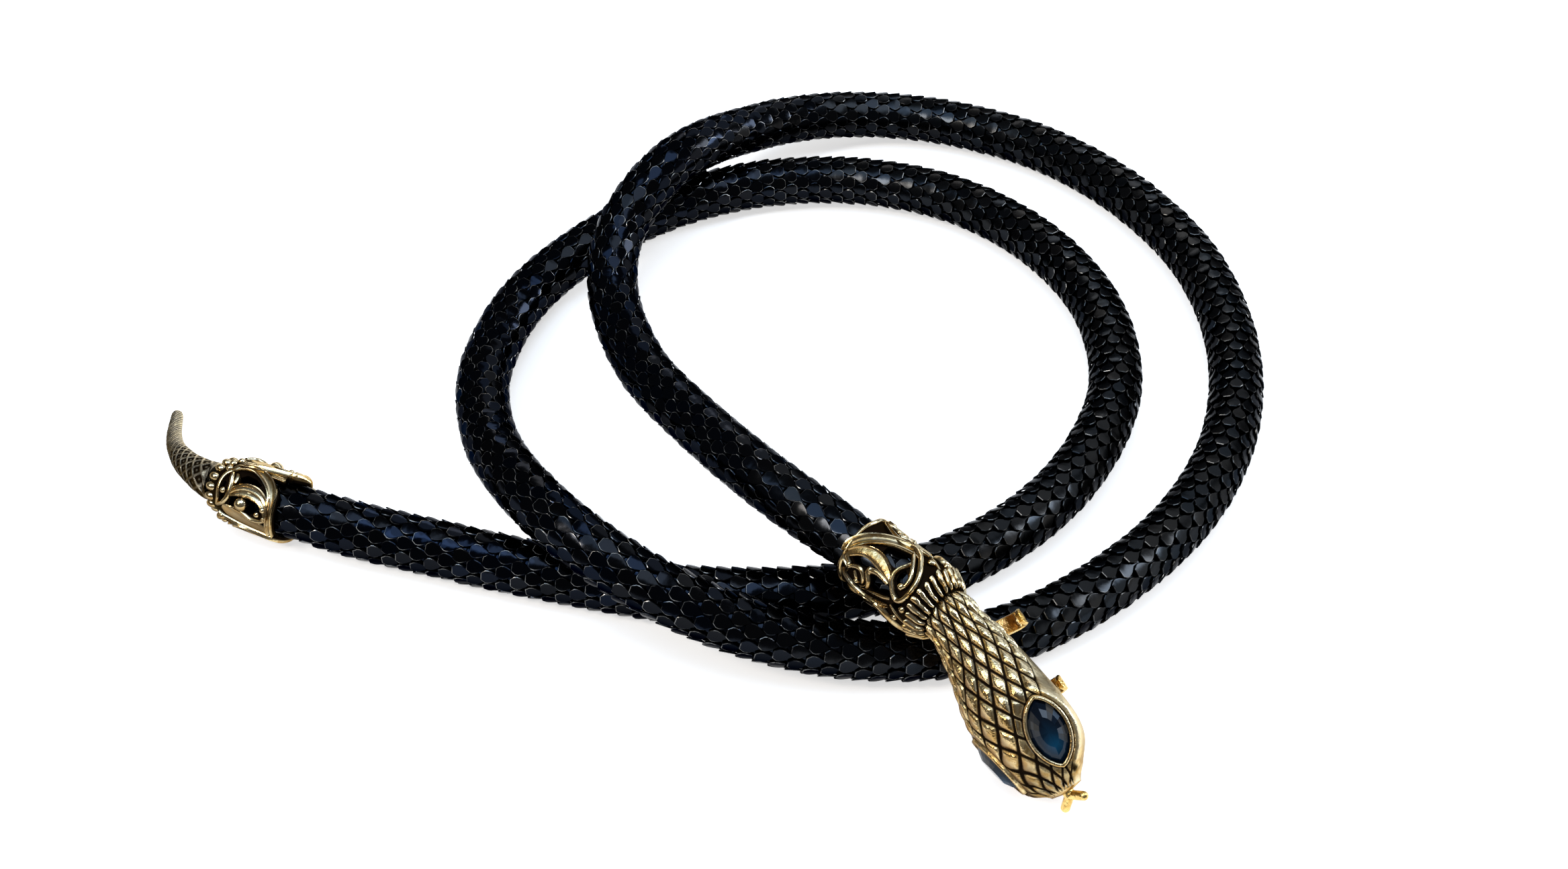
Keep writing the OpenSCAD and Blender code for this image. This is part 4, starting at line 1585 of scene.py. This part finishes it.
def scales_before(places: np.ndarray, length: np.ndarray) -> np.ndarray:
    """How many scales lie before each place: the sum of the steps from place to place, each
    divided by a scale's length there."""
    return np.concatenate([[0.0], np.cumsum(np.diff(places) / length[:-1])])


@dataclass
class SnakeHead:
    """The cast head: scaled top and sides, plain cheeks, belly and bezels.

    Attributes:
        place: where it stands.
        eye: the left eye's seat.
        sections: distance from the root's centre, middle height, share of the half width and
            half height.
        half_width: half the width that the shares are taken of.
        belly: the height of its flat underside.
        belly_run: the two ends of that side.
        power: the power of the cosine and the sine in its sections.
        around: how many scales there are round it.
        fineness: how many points there are to a scale.
        scale_length: distance from the root's centre, and a scale's length there.
        scaled_to: the same distance, and how many degrees from the top the scales reach.
        soft: over how many degrees each way the scales end there.
        first_scales, last_scales: the distances over which they begin and end.
        relief: how high they stand.
        pillow: how a scale rises: two gaps to the groove, and the share between them.
        plain_rise: how high the plain skin stands, as a share of the relief.
        root_rise: the share of the relief at the root, and over which distances it grows whole.
        bright: the gaps to the groove from which a scale's plate shows, and where it is whole.
        snout: the distances over which the scales get darker, as painted shade, and by how much.
        plain_lift: the finish's height on the plain skin.
        near_eye: how far along and across the seat the skin is gathered to the bezel.
        under_eye: how far under it.
        foot: how far the bezel's foot passes the stone, in length and in width.
        socket: the distance from that foot, and the skin's height there in the eye's frame.
        brow: how much higher it is above the eye.
        eye_shade: the distance from that foot, and the most that the finish's height is there.
        corner: the middle and the reach of the dark spot in the eye's corner.
    """

    place: Place
    eye: EyeSeat = field(default_factory=EyeSeat)
    sections: Sequence[Sequence[float]] = (
        (-3.7, 0, 0.072, 0.61), (-3.4, 0, 0.186, 1.58), (-2.8, 0, 0.294, 2.5), (-2, 0, 0.373, 3.17),
        (-1, 0, 0.425, 3.61), (0, 0, 0.441, 3.75), (2, -0.3, 0.435, 3.7), (5.5, -0.8, 0.52, 4.4),
        (9.5, -0.8, 0.63, 5.1), (13.5, -0.5, 0.76, 5.6), (18, -0.5, 0.87, 5.7), (22, -0.9, 0.88, 5.4),
        (25, -1.1, 0.76, 4.8), (28, -0.8, 0.5, 3.3), (30, -0.8, 0.27, 2.0),
    )
    half_width: float = 8.5
    belly: float = -5.9
    belly_run: tuple[float, float] = (3.0, 22.0)
    power: float = 0.9
    around: int = 15
    fineness: int = 24
    scale_length: Sequence[tuple[float, float]] = ((-3.7, 4.4), (3, 4.7), (18, 5.0), (30, 3.6))
    scaled_to: Sequence[tuple[float, float]] = (
        (0, 150), (6, 128), (12, 108), (17, 82), (22, 58), (27, 76), (30, 84),
    )
    soft: float = 4.0
    first_scales: tuple[float, float] = (-2.6, -2.0)
    last_scales: tuple[float, float] = (29.2, 29.9)
    relief: float = 0.58
    pillow: Sequence[tuple[float, float, float]] = ((0.02, 0.2, 0.55), (0.0, 0.4, 0.45))
    plain_rise: float = 0.35
    root_rise: tuple[float, float, float] = (0.4, -1.8, 0.4)
    bright: tuple[float, float] = (0.03, 0.165)
    snout: tuple[float, float, float] = (20.0, 27.0, 0.48)
    plain_lift: float = 0.75
    near_eye: tuple[float, float] = (8.0, 6.5)
    under_eye: float = -4.5
    foot: tuple[float, float] = (0.75, 0.65)
    socket: Sequence[tuple[float, float]] = (
        (-0.8, -0.95), (-0.35, -0.25), (0.1, 0.12), (1.2, 0.05), (2.6, -0.3),
    )
    brow: float = 0.36
    eye_shade: Sequence[tuple[float, float]] = ((-0.5, 0.0), (0.0, 0.1), (0.15, 0.4), (0.34, 1.0))
    corner: Sequence[tuple[float, float]] = ((6.1, 1.3), (1.1, 0.7))

    def section(self, x: np.ndarray) -> np.ndarray:
        """Middle height, half width and half height at each x, on the curve through the
        sections."""
        rows = np.array(self.sections)
        k = np.clip(np.searchsorted(rows[:, 0], x, side="right") - 1, 0, len(rows) - 2)
        t = ((x - rows[k, 0]) / (rows[k + 1, 0] - rows[k, 0]))[:, None]
        beside = (np.maximum(k - 1, 0), k, k + 1, np.minimum(k + 2, len(rows) - 1))
        return cubic(*(rows[row, 1:] for row in beside), t) * [1.0, self.half_width, 1.0]

    def lattice(self) -> tuple[np.ndarray, np.ndarray, np.ndarray]:
        """The scales' lattice. Rows lie a fixed share of a scale apart, so that the grooves
        run exactly through the grid's points.

        Returns:
            Each row's x, each column's angle, and each point's gap to a groove.
        """
        fine = np.linspace(self.sections[0][0], self.sections[-1][0], 2000)
        count = scales_before(fine, table(fine, self.scale_length))
        rows = int(count[-1] * self.fineness) + 1
        columns = self.around * self.fineness
        x = np.interp(np.linspace(0.0, count[-1], rows), count, fine)
        return x, turns(columns), lattice_gap(rows, columns, self.fineness)

    def bare(self, x: np.ndarray, angle: np.ndarray) -> tuple[np.ndarray, np.ndarray]:
        """The head without its scales: at each x a rounded section whose half width and half
        height are the powers of the cosine and the sine.

        Args:
            x: each row's distance from the root's centre.
            angle: each column's angle.

        Returns:
            The points, and the way out from each within its section.
        """
        middle, half_width, half_height = self.section(x).T[..., None]
        cos, sin = np.cos(angle), np.sin(angle)
        y = half_width * np.sign(cos) * np.abs(cos) ** self.power
        z = middle + half_height * np.sign(sin) * np.abs(sin) ** self.power
        out = np.stack([0.0 * y, np.gradient(z, axis=1), -np.gradient(y, axis=1)], axis=-1)
        return np.stack([x[:, None] + 0.0 * y, y, z], axis=-1), unit(out + 1e-9)

    def skin(self) -> Surface:
        """The head's surface: the bare head, raised by the scales where it has them.

        Returns:
            The closed head in its own frame, with its finish value "lift".
        """
        x, angle, groove = self.lattice()
        points, out = self.bare(x, angle)
        x = x[:, None]
        from_top = np.abs((np.degrees(angle) - 90 + 180) % 360 - 180)
        scaled = 1.0 - ramp(from_top - table(x, self.scaled_to), -self.soft, self.soft)
        scaled = scaled * ramp(x, *self.first_scales) * (1.0 - ramp(x, *self.last_scales))
        pillow = sum(ramp(groove, low, high) * share for low, high, share in self.pillow)
        plain = self.plain_rise * (1 - scaled) * ramp(x, 0.0, 2.0)
        least, start, end = self.root_rise
        raised = self.relief * (pillow * scaled + plain) * (least + (1 - least) * ramp(x, start, end))
        # Painted shade: the scales darken towards the snout, where the head turns down.
        start, end, darker = self.snout
        lift = ramp(groove, *self.bright) * scaled * (1.0 - darker * ramp(x, start, end))
        lift = lift + self.plain_lift * (1 - scaled) * ramp(x, -2.8, -2.2)
        points, lift = self._eyes(points + out * raised[..., None], lift)
        low, high = self.belly_run
        flat = (points[..., 0] > low) & (points[..., 0] < high)
        points[..., 2] = np.where(flat, np.maximum(points[..., 2], self.belly), points[..., 2])
        made = closed_ends(points, np.array([[-3.8, 0.0, 0.0], [30.5, 0.0, -0.8]]))
        made.values["lift"] = np.concatenate([lift.ravel(), [0.2, 0.4]])
        return made

    def _eyes(self, points: np.ndarray, lift: np.ndarray) -> tuple[np.ndarray, np.ndarray]:
        """Sinks the skin under each stone and gathers it to the bezel's foot.

        Args:
            points: the skin's points, row by row.
            lift: the finish's height at each.

        Returns:
            Both, changed round the eyes.
        """
        seat, shape = self.eye.place(), points.shape
        outline = almond(self.eye.stone_length + self.foot[0], self.eye.stone_width + self.foot[1], 16)
        lift = lift.ravel()
        for side in (1.0, -1.0):
            flip = np.array([1.0, side, 1.0])
            local = seat.into(points.reshape(-1, 3) * flip)
            near = (np.abs(local[:, :2]) < self.near_eye).all(axis=1) & (local[:, 2] > self.under_eye)
            y, z = local[near, 1], local[near, 2]
            gap, _ = distance_to(outline, local[near, :2])
            sunk = table(gap, self.socket) + self.brow * ramp(y, 0.0, 2.0) * ramp(gap, -0.3, 0.1)
            gathered = z + (sunk - z) * (1.0 - ramp(gap, 0.4, 2.4))
            local[near, 2] = np.where(gap < 0, np.minimum(z, sunk), gathered)
            points = (seat.out(local) * flip).reshape(shape)
            # Painted shade: the finish is darkened in a thin line at the bezel's foot, not on the cheek
            # side, and in a spot in the eye's corner.
            shade = np.maximum(table(gap, self.eye_shade), ramp(y, 0.0, 2.0) * ramp(gap, -0.3, 0.0))
            away = (local[near, :2] - self.corner[0]) / self.corner[1]
            shade = shade * (1.0 - 0.9 * np.exp(-(away**2).sum(axis=1)))
            lift[near] = np.minimum(lift[near], shade)
        return points, lift.reshape(shape[:2])

    def dress(self, gold: bpy.types.Material, glass: bpy.types.Material) -> None:
        """Makes the head with its bezels as one casting, and its two stones."""
        seat = self.eye.place()
        bezel, stone = self.eye.rim().moved(seat.out), self.eye.stone().moved(seat.out)
        casting = Surface.joined([self.skin(), bezel, bezel.mirrored()]).moved(self.place.out)
        casting.shown("cast_head", gold, Slot.ANTIQUE_GOLD, "snake_head", crease=60.0)
        left, right = stone.moved(self.place.out), stone.mirrored().moved(self.place.out)
        left.shown("cut_stone_left", glass, Slot.STONE, "eye_stone_left", crease=1.0)
        right.shown("cut_stone_right", glass, Slot.STONE, "eye_stone_right", crease=1.0)


@dataclass
class TailTip:
    """The cast tail, scaled at its root and grained towards its blunt tip.

    Attributes:
        line: points of its middle line and its radius there.
        around: how many scales there are round it.
        fineness: how many points there are to a scale.
        stretch: a scale's length as a share of its width.
        least_scale: the least that a scale is long.
        relief: how high the net of ridges between the scales stands.
        sunk: how far the skin lies under the radius.
        round_end: how long the rounded end is.
        net, centre: the gaps to a ridge over which it falls, and a scale's middle rises.
        first_scales, last_scales: the distances over which the scales begin and fade.
        faded: by how much they fade.
    """

    line: Sequence[Sequence[float]] = (
        (-82.9, -23.1, 6, 3.4), (-85.1, -21.8, 5.6, 3), (-87.4, -19.8, 5, 2.6), (-89.8, -17.5, 4.4, 2.2),
        (-92, -14.6, 3.6, 1.85), (-93.9, -11.4, 2.7, 1.55), (-95.2, -7.7, 1.9, 1.3),
        (-95.9, -3.6, 1.4, 1.1), (-96.2, -1.8, 1.2, 0.95),
    )
    around: int = 8
    fineness: int = 12
    stretch: float = 1.15
    least_scale: float = 0.5
    relief: float = 0.2
    sunk: float = 0.12
    round_end: float = 0.9
    net: tuple[float, float] = (0.06, 0.18)
    centre: tuple[float, float] = (0.24, 0.38)
    first_scales: tuple[float, float] = (0.4, 1.2)
    last_scales: tuple[float, float] = (11.0, 15.0)
    faded: float = 0.75

    def skin(self) -> Surface:
        """A circle carried along the line, its radius raised by scales that shrink with it,
        and closed by a rounded end. The grain is the product of two slanting waves.

        Returns:
            The closed tail, with its finish value "lift".
        """
        route = Route(self.line, 16)
        fine = np.linspace(0.0, route.length, 1500)
        width = 2 * math.pi * route.at(fine)[:, 3] / self.around
        count = scales_before(fine, np.maximum(width * self.stretch, self.least_scale))
        rows, columns = int(count[-1] * self.fineness), self.around * self.fineness
        s = np.interp(np.arange(rows) / self.fineness, count, fine)
        s, angle = np.meshgrid(s, turns(columns), indexing="ij")
        groove = lattice_gap(rows, columns, self.fineness)
        scaled = ramp(s, *self.first_scales) * (1.0 - self.faded * ramp(s, *self.last_scales))
        net, centre = 1.0 - ramp(groove, *self.net), ramp(groove, *self.centre)
        grain = np.sin(9 * angle + 6 * s) * np.sin(15 * s - 4 * angle) * (1 - scaled)
        raised = self.relief * ((net + 0.3 * centre) * scaled + 0.3 * grain)
        radius = route.at(s[:, 0])[:, 3:4] - self.sunk + raised
        left = np.minimum((route.length - s) / self.round_end, 1.0)
        radius = radius * np.sqrt(np.clip(1 - (1 - left) ** 2, 0.02, 1))
        ends = route.at(np.array([0.0, route.length]))[:, :3]
        made = closed_ends(route.around(s, angle, radius), ends)
        lift = (0.02 + 0.75 * net + 0.6 * centre) * scaled + 0.72 * (1 - scaled) + 0.7 * grain
        made.values["lift"] = np.concatenate([lift.ravel(), [0.3, 0.5]])
        return made

    def dress(self, gold: bpy.types.Material) -> None:
        """Makes the tail as one casting."""
        self.skin().shown("cast_tail", gold, Slot.ANTIQUE_GOLD, "tail_tip", crease=60.0)


@dataclass
class HeadHook:
    """The plate along the head's belly with its two hooks, curled up and rounded at the end.

    Attributes:
        place: where the head stands.
        top: the height of the plate's upper face.
        thickness: how thick a strip is.
        start: where across the head a strip starts.
        bend: the radius of its curl, outside.
        rise: how far it runs up again.
        round_end: how long its rounded end is, as a share of its width.
        hooks: each hook's place along the head, width and reach.
        plate_low, plate_high: the plate's corners.
        plate_levels: inset of the plate's outline and height under its top, from its foot up.
        section: across from -1 to 1, through the thickness from -0.5 to 0.5, and the finish's
            height.
    """

    place: Place
    top: float = -6.05
    thickness: float = 0.8
    start: float = 0.8
    bend: float = 1.25
    rise: float = 0.4
    round_end: float = 0.42
    hooks: Sequence[Sequence[float]] = ((5.4, 2.8, 3.8), (16.7, 2.6, 3.1))
    plate_low: Sequence[float] = (3.9, -2.6)
    plate_high: Sequence[float] = (18.2, 0.9)
    plate_levels: Sequence[Sequence[float]] = ((0.15, -0.8), (0.0, -0.65), (0.0, -0.12), (0.12, 0.0))
    section: Sequence[Sequence[float]] = (
        (-1, 0, 1), (-0.9, -0.46, 0.9), (0, -0.5, 0.75), (0.9, -0.46, 0.9), (1, 0, 1),
        (0.88, 0.46, 1), (0.66, 0.3, 0.1), (0, 0.18, 0), (-0.66, 0.3, 0.1), (-0.88, 0.46, 1),
    )

    def path(self, reach: float) -> np.ndarray:
        """A strip's middle line across the head: straight down, half round a circle and up
        again."""
        radius = self.bend - self.thickness / 2
        middle, foot = self.start + self.bend, self.top - reach
        turn = np.linspace(math.pi, 2 * math.pi, 15)
        down = np.linspace(self.top + 0.1, foot, 6)[:-1]
        up = np.linspace(foot, foot + self.rise, 5)[1:]
        arc = np.stack([middle + radius * np.cos(turn), foot + radius * np.sin(turn)], axis=-1)
        before = np.insert(down[:, None], 0, middle - radius, axis=1)
        after = np.insert(up[:, None], 0, middle + radius, axis=1)
        return np.concatenate([before, arc, after])

    def hook(self, along: float, width: float, reach: float) -> Surface:
        """One hook: the section carried along its path, and narrowed to a half circle at its
        end.

        Args:
            along: its middle's place along the head.
            width: how wide the strip is.
            reach: how far down it runs before it curls.

        Returns:
            The closed hook, with its finish value "lift".
        """
        path = self.path(reach)
        way = unit(np.gradient(path, axis=0))
        inwards = np.stack([-way[:, 1], way[:, 0]], axis=-1)
        steps = np.linalg.norm(np.diff(path, axis=0), axis=1)
        left = np.concatenate([np.cumsum(steps[::-1])[::-1], [0.0]])
        near_end = np.minimum(left / (self.round_end * width) + 0.06, 1.0)
        narrowed = np.sqrt(1 - (1 - near_end) ** 2)
        across, through, lift = np.array(self.section).T
        beside = along + across * narrowed[:, None] * width / 2
        flat = path[:, None] + inwards[:, None] * (through[:, None] * self.thickness)
        grid = np.concatenate([beside[..., None], flat], axis=-1)
        made = closed_ends(grid, grid[[0, -1]].mean(axis=1))
        made.values["lift"] = np.concatenate([np.tile(lift, len(path)), [0.5, 1.0]])
        return made

    def plate(self) -> Surface:
        """The plate with its edges taken off: one outline at four heights."""
        low, high = np.array(self.plate_low), np.array(self.plate_high)
        corner = np.array([[0, 0], [1, 0], [1, 1], [0, 1]])
        outlines = (np.where(corner == 0, low + i, high - i) for i, _ in self.plate_levels)
        heights = (self.top + depth for _, depth in self.plate_levels)
        grid = np.stack([np.insert(o, 2, height, axis=1) for o, height in zip(outlines, heights)])
        made = closed_ends(grid, grid[[0, -1]].mean(axis=1))
        made.values["lift"] = np.full(len(made.points), 0.6)
        return made

    def dress(self, gold: bpy.types.Material) -> None:
        """Makes the plate and its hooks as one piece."""
        parts = [self.plate(), *(self.hook(*h) for h in self.hooks)]
        piece = Surface.joined(parts).moved(self.place.out)
        piece.shown("curled_head_hook", gold, Slot.BRIGHT_GOLD, "head_hook")


def plate_packed(packed: bpy.types.Object, gold: bpy.types.Material) -> None:
    """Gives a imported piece, which keeps its shape, its plate."""
    packed.data.materials.clear()
    packed.data.materials.append(gold)
    LOG.info("%s: packed shape in %s", packed.name, gold.name)


# The picture


@dataclass(frozen=True)
class Panel:
    """A soft studio light: where it hangs, what it looks at, its size and its strength."""

    name: str
    at: tuple[float, float, float]
    size: tuple[float, float]
    watts: float
    colour: tuple[float, float, float]
    aim: tuple[float, float, float] = (0.0, 0.0, 0.0)

    def hang(self) -> None:
        """Puts the light into the scene, turned to face its aim."""
        data = bpy.data.lights.new(self.name, "AREA")
        data.shape = "RECTANGLE"
        data.size, data.size_y = self.size
        data.energy = self.watts
        data.color = self.colour
        lamp = bpy.data.objects.new(self.name, data)
        back = unit(np.array(self.at) - np.array(self.aim))
        level = unit(np.cross([0.0, 0.0, 1.0], back) + [1e-9, 0, 0])
        upright = np.cross(back, level)
        axes = np.eye(4)
        axes[:3, 0], axes[:3, 1], axes[:3, 2], axes[:3, 3] = level, upright, back, self.at
        lamp.matrix_world = Matrix(axes.tolist())
        bpy.context.scene.collection.objects.link(lamp)


@dataclass
class Studio:
    """The pale floor, the soft lights and the camera."""

    floor_size: float = 6.0
    camera_at: tuple[float, float, float] = (0.011, -0.2159, 0.2172)
    camera_tilt: float = 44.0
    field_of_view: float = 49.03
    panels: Sequence[Panel] = (
        Panel("sky_panel", (0.12, -0.05, 0.9), (0.6, 0.5), 3.0, (0.72, 0.85, 1.0)),
        Panel("blue_panel", (-0.36, -0.12, 0.85), (0.5, 0.5), 2.2, (0.55, 0.75, 1.0)),
        Panel("key_panel", (-0.55, -0.35, 0.75), (0.2, 0.2), 3.0, (1.0, 0.92, 0.82)),
        Panel("low_panel", (0.9, 0.0, 0.22), (0.9, 0.36), 1.0, (1.0, 0.97, 0.92)),
        Panel("side_panel", (0.75, 0.1, 0.45), (0.18, 0.3), 2.2, (0.86, 0.92, 1.0)),
        Panel("back_panel", (-0.1, 0.9, 0.55), (0.5, 0.12), 0.7, (1.0, 0.95, 0.9)),
        Panel("fill_panel", (0.5, 0.85, 0.72), (1.1, 0.7), 2.0, (0.92, 0.96, 1.0)),
    )

    def floor(self) -> None:
        """A wide plain floor at z = 0, bright enough to stay white under soft light."""
        tree = Tree("pale_floor")
        cloud = tree.noise(60.0, 1.0)
        finish = tree.finished({
            "Base Color": tree.blend(cloud, (0.86, 0.855, 0.85, 1.0), (0.9, 0.895, 0.89, 1.0)),
            "Roughness": 0.7,
            "Specular IOR Level": 0.2,
            "Emission Color": (1.0, 0.995, 0.99, 1.0),
            "Emission Strength": 0.62,
        })
        half = self.floor_size / 2
        mesh = bpy.data.meshes.new("floor")
        mesh.from_pydata(
            [(-half, -half, 0), (half, -half, 0), (half, half, 0), (-half, half, 0)], [], [(0, 1, 2, 3)]
        )
        mesh.materials.append(finish)
        floor = bpy.data.objects.new("floor", mesh)
        bpy.context.scene.collection.objects.link(floor)

    def room(self) -> None:
        """A dim even room that the enamel mirrors."""
        world = bpy.data.worlds.new("room")
        world.use_nodes = True
        backdrop = world.node_tree.nodes["Background"]
        backdrop.inputs["Color"].default_value = (0.30, 0.31, 0.34, 1.0)
        backdrop.inputs["Strength"].default_value = 0.4
        bpy.context.scene.world = world

    def camera(self) -> None:
        """The camera at the viewing angle of the picture."""
        data = bpy.data.cameras.new("camera")
        data.sensor_width = 36.0
        data.lens = data.sensor_width / 2 / math.tan(math.radians(self.field_of_view) / 2)
        data.clip_start, data.clip_end = 0.01, 20.0
        camera = bpy.data.objects.new("camera", data)
        camera.location = self.camera_at
        camera.rotation_euler = (math.radians(self.camera_tilt), 0.0, 0.0)
        bpy.context.scene.collection.objects.link(camera)
        bpy.context.scene.camera = camera

    def set_up(self) -> None:
        """Makes everything that stands round the necklace."""
        self.camera()
        self.floor()
        self.room()
        for panel in self.panels:
            panel.hang()
        bpy.context.scene.view_settings.view_transform = "Standard"
        LOG.info("studio: %d lights", len(self.panels))


def main() -> None:
    """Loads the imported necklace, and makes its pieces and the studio."""
    logging.basicConfig(level=logging.INFO, format="%(name)s: %(message)s")
    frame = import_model()
    glass = BlueGlass().material()
    MeshTube().dress(BlackEnamel().material())
    collar = NeckCuff()
    collar.dress(NeckCuffGold().material())
    head = collar.head_place()
    SnakeHead(head).dress(AntiqueGold().material(), glass)
    HeadHook(head).dress(BrightGold().material(worn=True))
    plate_packed(frame["nodes"]["tongue"], BrightGold().material(worn=False))
    TailCuff().dress(TailCuffGold().material())
    TailTip().dress(TailGold().material())
    Studio().set_up()


if __name__ == "__main__":
    main()
